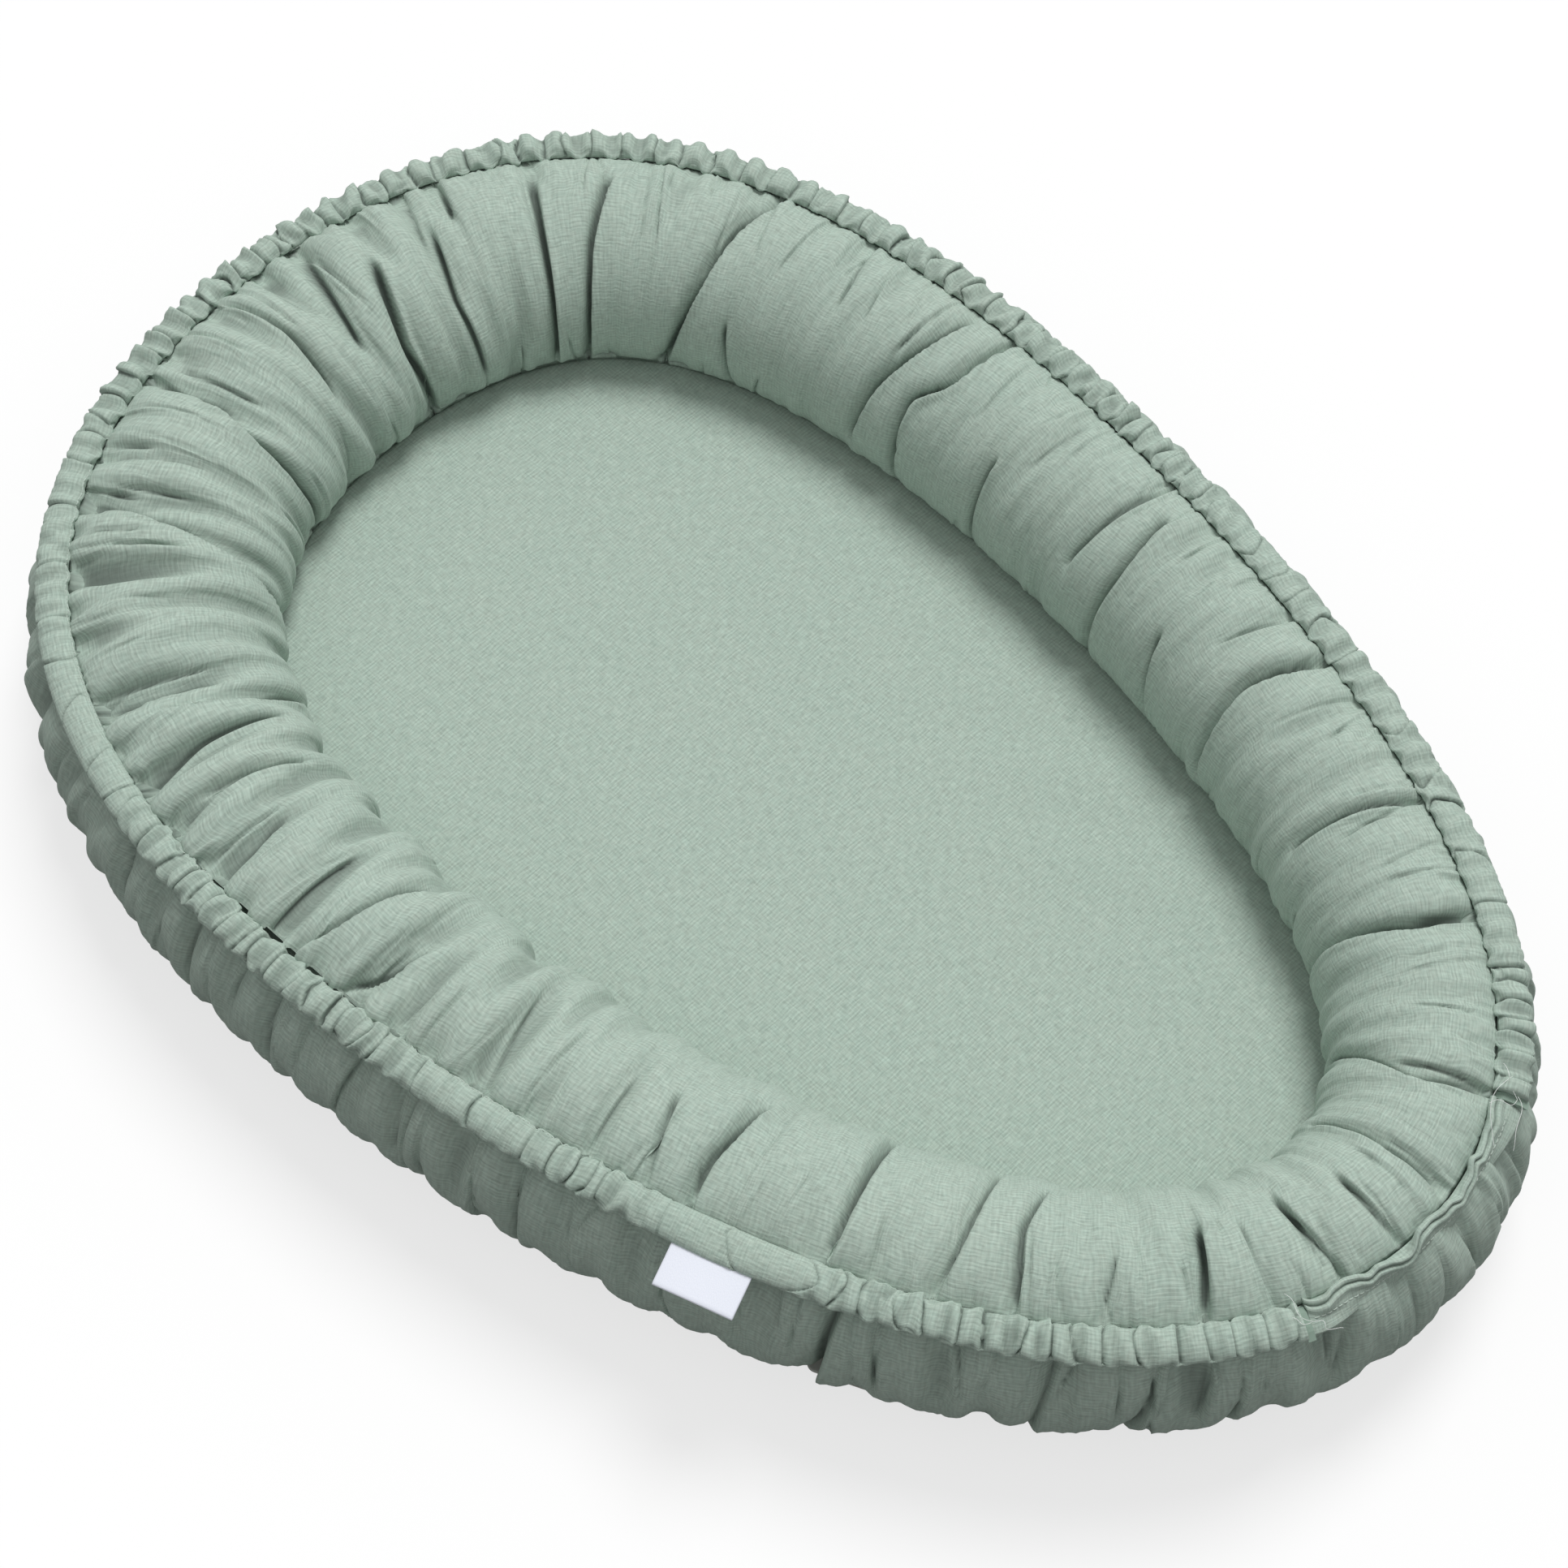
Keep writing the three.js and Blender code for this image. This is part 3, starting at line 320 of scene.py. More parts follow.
def muslin_material():
    """Plain-weave muslin: slubby threads both ways, a little unevenly dyed, matt and faintly fuzzy, with
    painted shade darkening its folds.
    """
    material, start = new_material("sage_muslin")
    cloth = start.node("ShaderNodeUVMap", {"uv_map": "cloth"}, {})
    place = start.node("ShaderNodeTexCoord", {}, {}, "Object")

    def streaks(along, across):
        drawn = start.node("ShaderNodeMapping", {"vector_type": "POINT"},
                           {"Vector": cloth, "Scale": (along, across, 1)})
        return start.node("ShaderNodeTexNoise", {"noise_dimensions": "2D"},
                          {"Vector": drawn, "Scale": 1.0, "Detail": 1.0})

    def ribs(axis, pitch):
        wander = start.node("ShaderNodeTexNoise", {"noise_dimensions": "2D"},
                            {"Vector": cloth, "Scale": 90.0})
        along = start.node("ShaderNodeSeparateXYZ", {}, {"Vector": cloth}, axis)
        phase = along * (TURN / pitch) + wander * 9
        return phase.maths("SINE", phase)

    def speckled(scale, detail):
        return start.node("ShaderNodeTexNoise", {}, {"Vector": place, "Scale": scale, "Detail": detail})

    # Threads: long slubs both ways and the faint ribs of the weave
    slubs = streaks(170.0, 1300.0) * 0.6 + streaks(1200.0, 150.0) * 0.4 - 0.5
    weave = slubs * 0.6 + ribs("Y", 0.002) * 0.045 + ribs("X", 0.0021) * 0.03 + 0.5
    # Colour: lighter and darker threads, patches of dye, specks, and painted shade down in the folds
    dye, speck, crinkle = speckled(22.0, 3.0), speckled(330.0, 2.0), speckled(150.0, 3.0)
    shade = (weave - 0.5) * 3.0 + (dye - 0.5) * 0.08 + 0.5
    plain = shade.blend(toned(SAGE, 0.72), toned(SAGE, 1.28))
    tint = ((speck - 0.5) * 2.2 + (dye - 0.5) * 0.8 + 0.5).blend(
        (0.352, 0.474, 0.41, 1), (0.405, 0.452, 0.392, 1))
    colour = start.node("ShaderNodeMix", {"data_type": "RGBA"}, {0: 0.25, 6: plain, 7: tint}, 2)
    # Painted shade: the colour darkens towards a dark sage by how deep each point lies in a fold
    painted_crease_shade = start.node("ShaderNodeAttribute", {"attribute_name": "painted_crease_shade"}, {}, "Fac")
    colour = (painted_crease_shade * 0.9).blend(colour, toned(SAGE, 0.3))
    # Surface: a slight crinkle under the threads
    coarse = start.node("ShaderNodeBump", {}, {
        "Height": crinkle, "Distance": 0.0012, "Strength": 0.28})
    relief = start.node("ShaderNodeBump", {}, {
        "Height": weave, "Distance": 0.0004, "Strength": 0.75, "Normal": coarse})
    show(start, start.node("ShaderNodeBsdfPrincipled", {}, {
        "Base Color": colour, "Roughness": 0.92, "Specular IOR Level": 0.25,
        "Sheen Weight": 0.12, "Sheen Roughness": 0.5, "Sheen Tint": (0.8, 0.9, 0.83, 1),
        "Normal": relief}))
    return material


def paint_crease_shade(made, passes, depth):
    """Keeps on each point how far it lies in a fold, below the same cloth smoothed out, for the painted
    shade that makes muslin darker in its folds."""
    mesh = made.data
    count = len(mesh.vertices)
    places, normals = np.zeros(count * 3, np.float32), np.zeros(count * 3, np.float32)
    mesh.vertices.foreach_get("co", places)
    mesh.vertex_normals.foreach_get("vector", normals)
    edges = np.zeros(len(mesh.edges) * 2, np.int32)
    mesh.edges.foreach_get("vertices", edges)
    first, second = edges.reshape(-1, 2).T
    links = np.maximum(np.bincount(first, minlength=count) + np.bincount(second, minlength=count), 1)

    def neighbours(values):
        return np.bincount(first, values[second], count) + np.bincount(second, values[first], count)

    smooth = np.hstack([places.reshape(-1, 3), normals.reshape(-1, 3)]).astype(float)
    for _ in range(passes):
        mean = np.stack([neighbours(values) for values in smooth.T], axis=1) / links[:, None]
        smooth = (smooth + mean) / 2
    way = smooth[:, 3:] / (np.linalg.norm(smooth[:, 3:], axis=1, keepdims=True) + 1e-9)
    sunk = ((smooth[:, :3] - places.reshape(-1, 3)) * way).sum(-1) / depth
    kept = mesh.attributes.new("painted_crease_shade", "FLOAT", "POINT")
    kept.data.foreach_set("value", np.clip(sunk, 0, 1).astype(np.float32))


muslin = muslin_material()
COVER_ROWS = 84
OUTER_ROWS = 74
COVER_COLUMNS = 1488
COVER_GIRTH = 139 * mm
SEAM_CLEAR = 0.3 * mm
BACK_DEPTH = 16 * mm
# Passes that smooth the cover out to find its folds, and how deep the painted shade is darkest
COVER_FOLDS = (60, 3 * mm)
# Tucks of the cover, as they lie: places and degrees round the roll along the tuck, its depth in mm
TUCKS = [
    ([(0.011, 60), (0.002, 123)], 6), ([(0.023, 96), (0.016, 141), (0.020, 204)], 12),
    ([(0.045, 90), (0.041, 129), (0.043, 177)], 7), ([(0.055, 55), (0.053, 87)], 5),
    ([(0.081, 76), (0.080, 138), (0.078, 194)], 12), ([(0.105, 80), (0.099, 120), (0.095, 204)], 13),
    ([(0.154, 66), (0.147, 96), (0.143, 132), (0.131, 198)], 13), ([(0.155, 150), (0.160, 204)], 7),
    ([(0.211, 76), (0.208, 105), (0.203, 141), (0.201, 180)], 12),
    ([(0.221, 68), (0.219, 114), (0.213, 135), (0.215, 194)], 12), ([(0.238, 134), (0.239, 204)], 7),
    ([(0.268, 69), (0.266, 108), (0.265, 147)], 6), ([(0.274, 92), (0.276, 126), (0.277, 198)], 11),
    ([(0.292, 138), (0.298, 188)], 7), ([(0.319, 66), (0.315, 120), (0.318, 180)], 13),
    ([(0.359, 66), (0.356, 102), (0.355, 147)], 7),
    ([(0.393, 58), (0.395, 102), (0.389, 153), (0.388, 198)], 12),
    ([(0.451, 58), (0.456, 105), (0.434, 174)], 7), ([(0.490, 62), (0.490, 105), (0.492, 147)], 7),
    ([(0.512, 56), (0.515, 105)], 6), ([(0.533, 50), (0.538, 90), (0.542, 114)], 6),
    ([(0.575, 56), (0.573, 104)], 12), ([(0.622, 60), (0.623, 102), (0.618, 132)], 7),
    ([(0.640, 60), (0.635, 108), (0.631, 153)], 7), ([(0.663, 60), (0.661, 111), (0.659, 156)], 12),
    ([(0.691, 56), (0.691, 84), (0.687, 124)], 11), ([(0.700, 60), (0.702, 90), (0.703, 108)], 6),
    ([(0.740, 58), (0.754, 60)], 3), ([(0.768, 56), (0.762, 81), (0.760, 100)], 12),
    ([(0.780, 56), (0.776, 81), (0.771, 135)], 8), ([(0.801, 58), (0.802, 87), (0.804, 100)], 7),
    ([(0.818, 80), (0.816, 135)], 6), ([(0.828, 60), (0.831, 93), (0.831, 135)], 7),
    ([(0.842, 92), (0.839, 123), (0.844, 174)], 7), ([(0.851, 64), (0.848, 108)], 6),
    ([(0.899, 74), (0.897, 110)], 6), ([(0.914, 58), (0.906, 108), (0.894, 150), (0.889, 180)], 10),
    ([(0.918, 48), (0.917, 78)], 6), ([(0.932, 48), (0.932, 80)], 6),
    ([(0.954, 90), (0.949, 120), (0.947, 156), (0.949, 196)], 12), ([(0.956, 52), (0.955, 101)], 7),
    ([(0.985, 56), (0.987, 102), (0.984, 134)], 7),
]
TABLE = np.linspace(0, 1, 121)
SOFTEN = np.hanning(15) / np.hanning(15).sum()
SOFTEN_REACH = 7
# A tuck that starts or ends this near to a seam runs into it at full depth
AT_SEAM = (0.04, 0.95)


def smooth_step(values):
    """A soft rise from 0 to 1."""
    values = np.clip(values, 0, 1)
    return values * values * (3 - 2 * values)


def half_turn(share):
    """A difference between two shares of the turn, the short way round."""
    return (share + 0.5) % 1 - 0.5


class Tuck:
    """A fold across the cloth: it draws the cloth in along a line, where one lip leans over a slit and
    the other side rises slowly."""

    def __init__(self, places, heights, depth, lip, steep, slow, fade):
        order = np.argsort(heights)
        heights, places = np.array(heights)[order], np.array(places)[order]
        line = np.interp(TABLE, heights, places)
        self.line = np.convolve(np.pad(line, SOFTEN_REACH, mode="edge"), SOFTEN, mode="valid")
        self.depth, self.lip, self.steep, self.slow = depth, lip, steep, slow
        low, high = heights[0], heights[-1]
        rise = 1 if low < AT_SEAM[0] else np.clip((TABLE - low) / fade + 0.4, 0, 1)
        fall = 1 if high > AT_SEAM[1] else np.clip((high - TABLE) / fade + 0.4, 0, 1)
        self.strength = smooth_step(rise * fall * np.ones(len(TABLE)))

    def near(self, share, part, pace, far):
        """Which points lie near the tuck, their distance along the ring towards its lip, and its
        strength there."""
        middle = (self.line.min() + self.line.max()) / 2
        window = (np.ptp(self.line) / 2) + far / pace.min()
        near = np.nonzero(np.abs(half_turn(share - middle)) < window)
        line = np.interp(part[near], TABLE, self.line)
        gap = half_turn(share[near] - line) * pace[near] * self.lip
        return near, gap, np.interp(part[near], TABLE, self.strength)


def lumps(seed, along, across, cells_along, cells_across):
    """Smooth random relief between -1 and 1, closed round the ring."""
    cells_along = int(cells_along)
    grid = np.random.default_rng(seed).uniform(-1, 1, (cells_along, cells_across + 2))
    x, y = (along % 1) * cells_along, np.clip(across, 0, 1) * cells_across
    i, j = np.floor(x).astype(int), np.floor(y).astype(int)
    fx, fy = smooth_step(x - i), smooth_step(y - j)
    i, k = i % cells_along, (i + 1) % cells_along
    return ((grid[i, j] * (1 - fx) + grid[k, j] * fx) * (1 - fy)
            + (grid[i, j + 1] * (1 - fx) + grid[k, j + 1] * fx) * fy)


# How the cloth is settled over its filling: coarse to fine, each with its part of the full grid, its
# steps, its stiffness, over how many threads it is stiff and how many apart a fold may touch itself
LEVELS = [(8, 160, 0.3, 2, ()), (4, 80, 0.3, 2, ()), (2, 70, 0.3, 3, (2, 3)), (1, 60, 0.3, 5, (3, 4, 5))]
CLOTH_DOUBLED = 2.2 * mm
# How hard, how wide and how deep a tuck draws the cloth in before it settles
DRAW_IN = 2
DRAW_WIDTH = 1.2 * mm
DRAW_DEPTH = 13 * mm
# Places round the ring where the spare cloth bunches, wide ones and fine ones
WIDE_BUNCHES = 60
FINE_BUNCHES = 230
# Slack down the roll, the threads' stiffness, their length over a bend and how stiff they are there,
# and how much of its speed a point keeps
DOWN_SLACK = 1.02
THREAD_STIFFNESS = 0.9
BEND_LENGTH = 0.97
DOWN_BENDING = 0.25
KEPT_SPEED = 0.9
# A point this many times lower than it may be has slipped through, and is lifted straight out
SLIPPED = 1.3


def towards(first, second, length, stiffness):
    """The step that brings the first of two points towards its distance from the second."""
    apart = second - first
    far = np.linalg.norm(apart, axis=-1, keepdims=True) + 1e-9
    return apart * (0.5 * stiffness * (1 - length / far))


def facing_way(points, facing):
    """Which way the cloth's outer side faces at each point. Facing, 1 or -1, says which side it is."""
    normal = np.cross(np.roll(points, -1, 0) - np.roll(points, 1, 0), np.gradient(points, axis=1))
    return normal * (facing / (np.linalg.norm(normal, axis=-1, keepdims=True) + 1e-12))


class Strip:
    """A strip of cloth with spare length, held between two seams round the ring and pushed out by what
    it covers: points in columns round the ring and rows from the first seam to the second. The form
    says what it covers."""

    def __init__(self, columns, rows, form):
        self.share = share_at(np.arange(columns) / columns * RING_LENGTH)[:, None] + np.zeros(rows + 1)
        self.part = np.linspace(0, 1, rows + 1) + np.zeros((columns, 1))
        self.form = form
        self.angle = form.angle(self.share, self.part)
        self.facing = np.sign(self.angle[0, 0] - self.angle[0, -1])
        self.deepest = form.deepest(self.share, self.part)
        self.proudest = form.proudest(self.share, self.part)
        self.lowest = form.lowest(self.part)
        plain = self.at(0)
        round_ring = np.linalg.norm(np.roll(plain, -1, 0) - plain, axis=-1)
        bunched = 1 + 0.6 * self.lumps(0, WIDE_BUNCHES, 1) + 0.5 * self.lumps(9, FINE_BUNCHES, 2)
        self.round_ring = (round_ring * (1 + form.spare(self.share, self.part) * bunched))[..., None]
        self.round_roll = np.linalg.norm(np.diff(plain, axis=1), axis=-1, keepdims=True) * DOWN_SLACK
        drawn = self.drawn(DRAW_WIDTH + 0.6 * round_ring.mean())
        self.push = (form.push * (1 - DRAW_IN * drawn))[..., None]
        relief = (self.lumps(1, form.waves, 3) + 0.35 * self.lumps(2, 2.4 * form.waves, 4)
                  - drawn) * form.start
        self.home = self.points = plain
        self.out = self.proud()[1]
        self.points = self.at(relief * np.sqrt(np.clip(np.sin(math.pi * self.part), 0, 1)))
        self.seams = self.points[:, [0, -1]].copy()

    def lumps(self, kind, cells_along, cells_across):
        """The form's own random relief over the strip."""
        return lumps(self.form.seed + kind, self.share, self.part, cells_along, cells_across)

    def drawn(self, width):
        """How far the form's tucks draw each point in, from 0 to 1."""
        pace = raw_plan(self.share)[4]
        drawn = np.zeros(self.share.shape)
        for tuck in self.form.tucks:
            near, gap, strength = tuck.near(self.share, self.part, pace, 3 * width)
            pulled = strength * tuck.depth / DRAW_DEPTH * np.exp(-((gap / width) ** 2))
            drawn[near] = np.maximum(drawn[near], pulled)
        return drawn

    def at(self, grow):
        """Points of the form, grown by a distance."""
        middle_out, middle_up, width, height, tilt = self.form.oval(self.share)
        nx, ny = np.cos(self.angle) / width, np.sin(self.angle) / height
        size = np.hypot(nx, ny)
        out = width * np.cos(self.angle) + grow * nx / size
        rise = height * np.sin(self.angle) + grow * ny / size
        return placed(self.share, middle_out + out * math.cos(tilt) - rise * math.sin(tilt),
                      middle_up + out * math.sin(tilt) + rise * math.cos(tilt))

    def proud(self):
        """How far the points stand out from the form, and which way is out."""
        x, y, out_x, out_y, _ = raw_plan(self.share)
        middle_out, middle_up, width, height, tilt = self.form.oval(self.share)
        east, north, high = np.moveaxis(self.points, -1, 0)
        out = (east + MIDDLE_X - x) * out_x + (north + MIDDLE_Y - y) * out_y - middle_out
        rise = high - middle_up
        across = (out * math.cos(tilt) + rise * math.sin(tilt)) / width
        above = (rise * math.cos(tilt) - out * math.sin(tilt)) / height
        far = np.hypot(across, above) + 1e-9
        across, above = across / (width * far), above / (height * far)
        size = np.hypot(across, above)
        outward = (across * math.cos(tilt) - above * math.sin(tilt)) / size
        upward = (across * math.sin(tilt) + above * math.cos(tilt)) / size
        return (far - 1) / size, np.stack([outward * out_x, outward * out_y, upward], axis=-1)

    def pair(self, first, second, length, stiffness):
        """Brings pairs of neighbours, given as slices of the points, to their distance."""
        step = towards(self.points[first], self.points[second], length, stiffness)
        self.points[first] += step
        self.points[second] -= step

    def shifted(self, columns, length, stiffness, near_only=False):
        """The same for each point and the one some columns further round the ring."""
        further = np.roll(self.points, -columns, 0)
        step = towards(self.points, further, length, stiffness)
        if near_only:
            step *= np.linalg.norm(further - self.points, axis=-1, keepdims=True) < length
        self.points += step - np.roll(step, columns, 0)

    def stretch(self):
        """Brings the threads of both ways back to their length."""
        everything = slice(None)
        for odd in (0, 1):
            turned = np.roll(self.points, -odd, 0)
            lengths = np.roll(self.round_ring, -odd, 0)[0::2]
            step = towards(turned[0::2], turned[1::2], lengths, THREAD_STIFFNESS)
            turned[0::2] += step
            turned[1::2] -= step
            self.points = np.roll(turned, odd, 0)
        for odd in (0, 1):
            end = odd + 2 * ((self.points.shape[1] - odd) // 2)
            self.pair((everything, slice(odd, end, 2)), (everything, slice(odd + 1, end + 1, 2)),
                      self.round_roll[:, odd:end:2], THREAD_STIFFNESS)
        self.points[:, [0, -1]] = self.seams

    def relax(self, steps, bending, span, touching):
        """Lets the cloth settle."""
        before = self.points.copy()
        everything = slice(None)
        for _ in range(steps):
            normal = facing_way(self.points, self.facing)
            moving = (self.points - before) * KEPT_SPEED
            before = self.points.copy()
            self.points += moving + normal * self.push
            self.stretch()
            self.stretch()
            self.shifted(span, BEND_LENGTH * span * self.round_ring, bending)
            self.pair((everything, slice(0, -2)), (everything, slice(2, None)),
                      self.round_roll[:, 1:] + self.round_roll[:, :-1], DOWN_BENDING)
            for columns in touching:
                self.shifted(columns, self.form.doubled, 1, near_only=True)
            proud, way = self.proud()
            astray = self.home - self.points
            self.points += self.form.hold * (astray - way * (astray * way).sum(-1, keepdims=True))
            self.points += way * (np.clip(proud, -self.deepest, self.proudest) - proud)[..., None]
            sunk = -self.deepest * SLIPPED - ((self.points - self.home) * self.out).sum(-1)
            self.points += self.out * np.maximum(sunk, 0)[..., None]
            self.points[..., 2] = np.maximum(self.points[..., 2], self.lowest)
            self.points[:, [0, -1]] = self.seams


def refined(values, columns, rows):
    """A closed grid of points drawn again with more columns and rows, on smooth curves."""
    for axis, count in ((0, columns), (1, rows + 1)):
        old = values.shape[axis]
        at = np.arange(count) * (old / count if axis == 0 else (old - 1) / (count - 1))
        whole = np.floor(at).astype(int)
        f = (at - whole).reshape((-1, 1, 1) if axis == 0 else (1, -1, 1))
        steps = [whole + k for k in (-1, 0, 1, 2)]
        steps = [step % old if axis == 0 else np.clip(step, 0, old - 1) for step in steps]
        a, b, c, d = [np.take(values, step, axis) for step in steps]
        values = b + 0.5 * f * (c - a + f * (2 * a - 5 * b + 4 * c - d + f * (3 * (b - c) + d - a)))
    return values


def settled(columns, rows, form):
    """A strip of cloth settled coarse first and then finer."""
    coarse = None
    for part, steps, bending, span, touching in form.levels:
        strip = Strip(columns // part, rows // part, form)
        if coarse is not None:
            strip.points = refined(coarse, columns // part, rows // part)
            strip.points[:, [0, -1]] = strip.seams
        strip.relax(steps, bending, span, touching)
        coarse = strip.points
    return strip


# How a tuck is drawn into the settled cloth: how far its columns crowd together, how high its lip
# stands, where and how widely, how far it leans, and how its slow side falls into the slit
CROWD = 0.55
CREST_SHARE = 0.28
CREST_PLACE = 0.75
CREST_WIDTH = 0.45
LEAN = 0.2
GENTLE_FALL = 0.32
SLIT_FALL = 0.68
SLIT_WIDTH = 0.55
UNFOLD_PASSES = 10


def crowded(strip, tucks, pace):
    """The settled cloth with its columns drawn together at the tucks, and the share each point came
    from."""
    columns, share, cloth = len(strip.points), strip.share, strip.points
    reach = strip.form.crowd_reach
    moved = share.copy()
    for tuck in tucks:
        near, gap, strength = tuck.near(share, strip.part, pace, 3 * reach)
        pull = CROWD * strength * gap * np.exp(-((gap / reach) ** 2))
        moved[near] -= pull * tuck.lip / pace[near]
    at = length_at(moved) / RING_LENGTH * columns
    at += np.where(at - np.arange(columns)[:, None] > columns / 2, -columns, 0)
    whole = np.floor(at).astype(int)
    row = np.arange(share.shape[1]) + 0 * whole
    f = (at - whole)[..., None]
    return cloth[whole % columns, row] * (1 - f) + cloth[(whole + 1) % columns, row] * f, moved


def unfolded(strip, points):
    """The same points, smoothed where the cloth has folded over too far."""
    for _ in range(UNFOLD_PASSES):
        folded = np.clip(-0.6 - 2 * (facing_way(points, strip.facing) * strip.out).sum(-1), 0, 1)
        for axis in (0, 1):
            beside = np.maximum(np.roll(folded, 1, axis), np.roll(folded, -1, axis))
            folded = np.maximum(folded, beside)
        folded[:, [0, -1]] = 0
        mean = sum(np.roll(points, step, axis) for step in (-1, 1) for axis in (0, 1)) / 4
        points += (mean - points) * folded[..., None]
    return points


def creased(strip, tucks):
    """The settled cloth's points with crisp slits: its columns are drawn together at the tucks, and
    each tuck's lip leans over its slit."""
    pace = raw_plan(strip.share)[4]
    points, moved = crowded(strip, tucks, pace)
    normal = facing_way(points, strip.facing) + strip.out
    normal /= np.linalg.norm(normal, axis=-1, keepdims=True) + 1e-12
    ahead = np.roll(strip.home, -1, 0) - np.roll(strip.home, 1, 0)
    ahead /= np.linalg.norm(ahead, axis=-1, keepdims=True)
    relief, slide = np.zeros(moved.shape), np.zeros(moved.shape)
    for tuck in tucks:
        near, gap, strength = tuck.near(moved, strip.part, pace, max(tuck.slow, 3 * tuck.steep))
        lip_side = np.clip(1 - gap / tuck.steep, 0, 1) ** 3
        slow_side = (GENTLE_FALL * np.clip(1 + gap / tuck.slow, 0, 1) ** 2.5
                     + SLIT_FALL * np.clip(1 + gap / (SLIT_WIDTH * tuck.steep), 0, 1) ** 1.6)
        valley = np.where(gap > 0, lip_side, slow_side)
        crest = np.exp(-(((gap / tuck.steep - CREST_PLACE) / CREST_WIDTH) ** 2))
        crest = crest * np.clip(gap / tuck.steep * 3, 0, 1)
        relief[near] += strength * tuck.depth * (CREST_SHARE * crest - valley)
        slide[near] += strength * tuck.depth * LEAN * (valley - 0.35 * crest) * tuck.lip
    held = np.sqrt(np.clip(np.sin(math.pi * strip.part), 0, 1)) * 0.8 + 0.2
    held[:, [0, -1]] = 0
    relief = np.maximum(relief, -strip.form.slit_deepest) * held
    strip.points = points + normal * relief[..., None] + ahead * (slide * held)[..., None]
    proud, way = strip.proud()
    return unfolded(strip, strip.points + way * np.maximum(-strip.form.slit_lowest - proud, 0)[..., None])


def closed_cover(name, form, columns, rows, cloth_rows, cloth, girth_length):
    """A closed cover of muslin: the settled cloth, then the plain back that closes it inside."""
    bm, turn, girth = cloth_grid(columns, rows)
    share = share_at(turn * RING_LENGTH)
    part = np.clip((1 - girth % 1) / (1 - cloth_rows / rows), 0, 1)
    back = placed(share, *section(share, form.angle(share, part), -BACK_DEPTH))
    back[:, 2] = np.maximum(back[:, 2], BACK_DEPTH)
    column = np.round(turn * columns).astype(int) % columns
    row = np.round(girth * rows).astype(int) % rows
    points = np.where((row <= cloth_rows)[:, None], cloth[column, np.minimum(row, cloth_rows)], back)
    threads = (turn * RING_LENGTH, girth * girth_length * rows / cloth_rows)
    made = finish_mesh(bm, name, points, muslin, threads)
    # Painted shade in the cover's folds, kept on its points
    paint_crease_shade(made, *COVER_FOLDS)
    return made


class UpperCover:
    """The roll's own oval, with spare cloth gathered into both seams: less on the smooth right side.
    Its lobes rest on the lying surface."""

    seed, waves, start = 1, 48, 3.6 * mm
    push, doubled, hold, levels = 0.006 * mm, CLOTH_DOUBLED, 0.002, LEVELS
    crowd_reach, slit_deepest, slit_lowest = 8 * mm, 8.5 * mm, 14.5 * mm

    def __init__(self, tucks):
        self.tucks = tucks

    def oval(self, share):
        return 0, half_height(share) - FLOOR_FLAT, half_width(share), half_height(share), 0

    def angle(self, share, part):
        low = seam_angle(share) + SEAM_CLEAR / half_height(share)
        high = CONTACT_ANGLE - SEAM_CLEAR / half_height(share)
        return low + (high - low) * part

    def deepest(self, share, part):
        return 10 * mm + 0 * part

    def proudest(self, share, part):
        return 7 * mm + 0 * part

    def lowest(self, part):
        return np.where(part > 0.6, half_height(0.4) * (1 + math.sin(CONTACT_ANGLE)) + 1.5 * mm, 0)

    def spare(self, share, part):
        down = np.interp(part, [0, 0.5, 1], [0.22, 0.14, 0.15])
        return down * np.interp(share, [0, 0.1, 0.38, 0.45, 0.68, 0.76, 0.9, 1],
                                [0.85, 0.42, 0.36, 0.38, 0.38, 0.95, 1.1, 0.85])


# How much of a tuck's depth is drawn in, from which depth on it is a wide one, and how wide both kinds
# are on their steep and their slow side
TUCK_DRAWN = 0.88
WIDE_TUCK = 9
WIDE_SIDES = (5 * mm, 15 * mm)
NARROW_SIDES = (4 * mm, 11 * mm)
SMALL_TUCKS = 230
draw = random.Random(7)
tucks, small_tucks = [], []
for path, depth in TUCKS:
    places = [p for p, _ in path]
    seams = np.degrees(seam_angle(np.array(places)))
    heights = np.clip([(a - s) / (CONTACT_DEGREES - s) for (_, a), s in zip(path, seams)], 0, 1)
    lip = 1 if places[0] < 0.5 else -1
    steep, slow = WIDE_SIDES if depth > WIDE_TUCK else NARROW_SIDES
    tucks.append(Tuck(places, heights, TUCK_DRAWN * depth * mm, lip, steep, slow, 0.1))
# Small crisp gathers that start at either seam and soon die out
for i in range(SMALL_TUCKS):
    where = (i + draw.uniform(0.1, 0.9)) / SMALL_TUCKS
    length = draw.uniform(0.07, 0.4)
    drift = draw.uniform(-0.004, 0.004)
    heights = (0, length) if i % 5 < 4 else (1 - length, 1)
    small_tucks.append(Tuck([where, where + drift], heights, draw.uniform(1, 3.6) * mm,
                            draw.choice((-1, 1)), draw.uniform(2, 3) * mm, draw.uniform(4, 9) * mm, 0.1))

cover = UpperCover(tucks)
cloth = creased(settled(COVER_COLUMNS, OUTER_ROWS, cover), tucks + small_tucks)
upper = closed_cover("roll_cover_upper", cover, COVER_COLUMNS, COVER_ROWS, OUTER_ROWS, cloth, COVER_GIRTH)
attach(upper, "nest")
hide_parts("bolster_cover_upper")

# Lower half of the cover: the same muslin from the casing seam down the outside wall, under the roll
# and up to the lying surface. Its fullness hangs in soft upright pleats that die out at the floor.
WALL_ROWS = 70
WALL_CLOTH_ROWS = 63
WALL_COLUMNS = 1200
WALL_GIRTH = 205 * mm
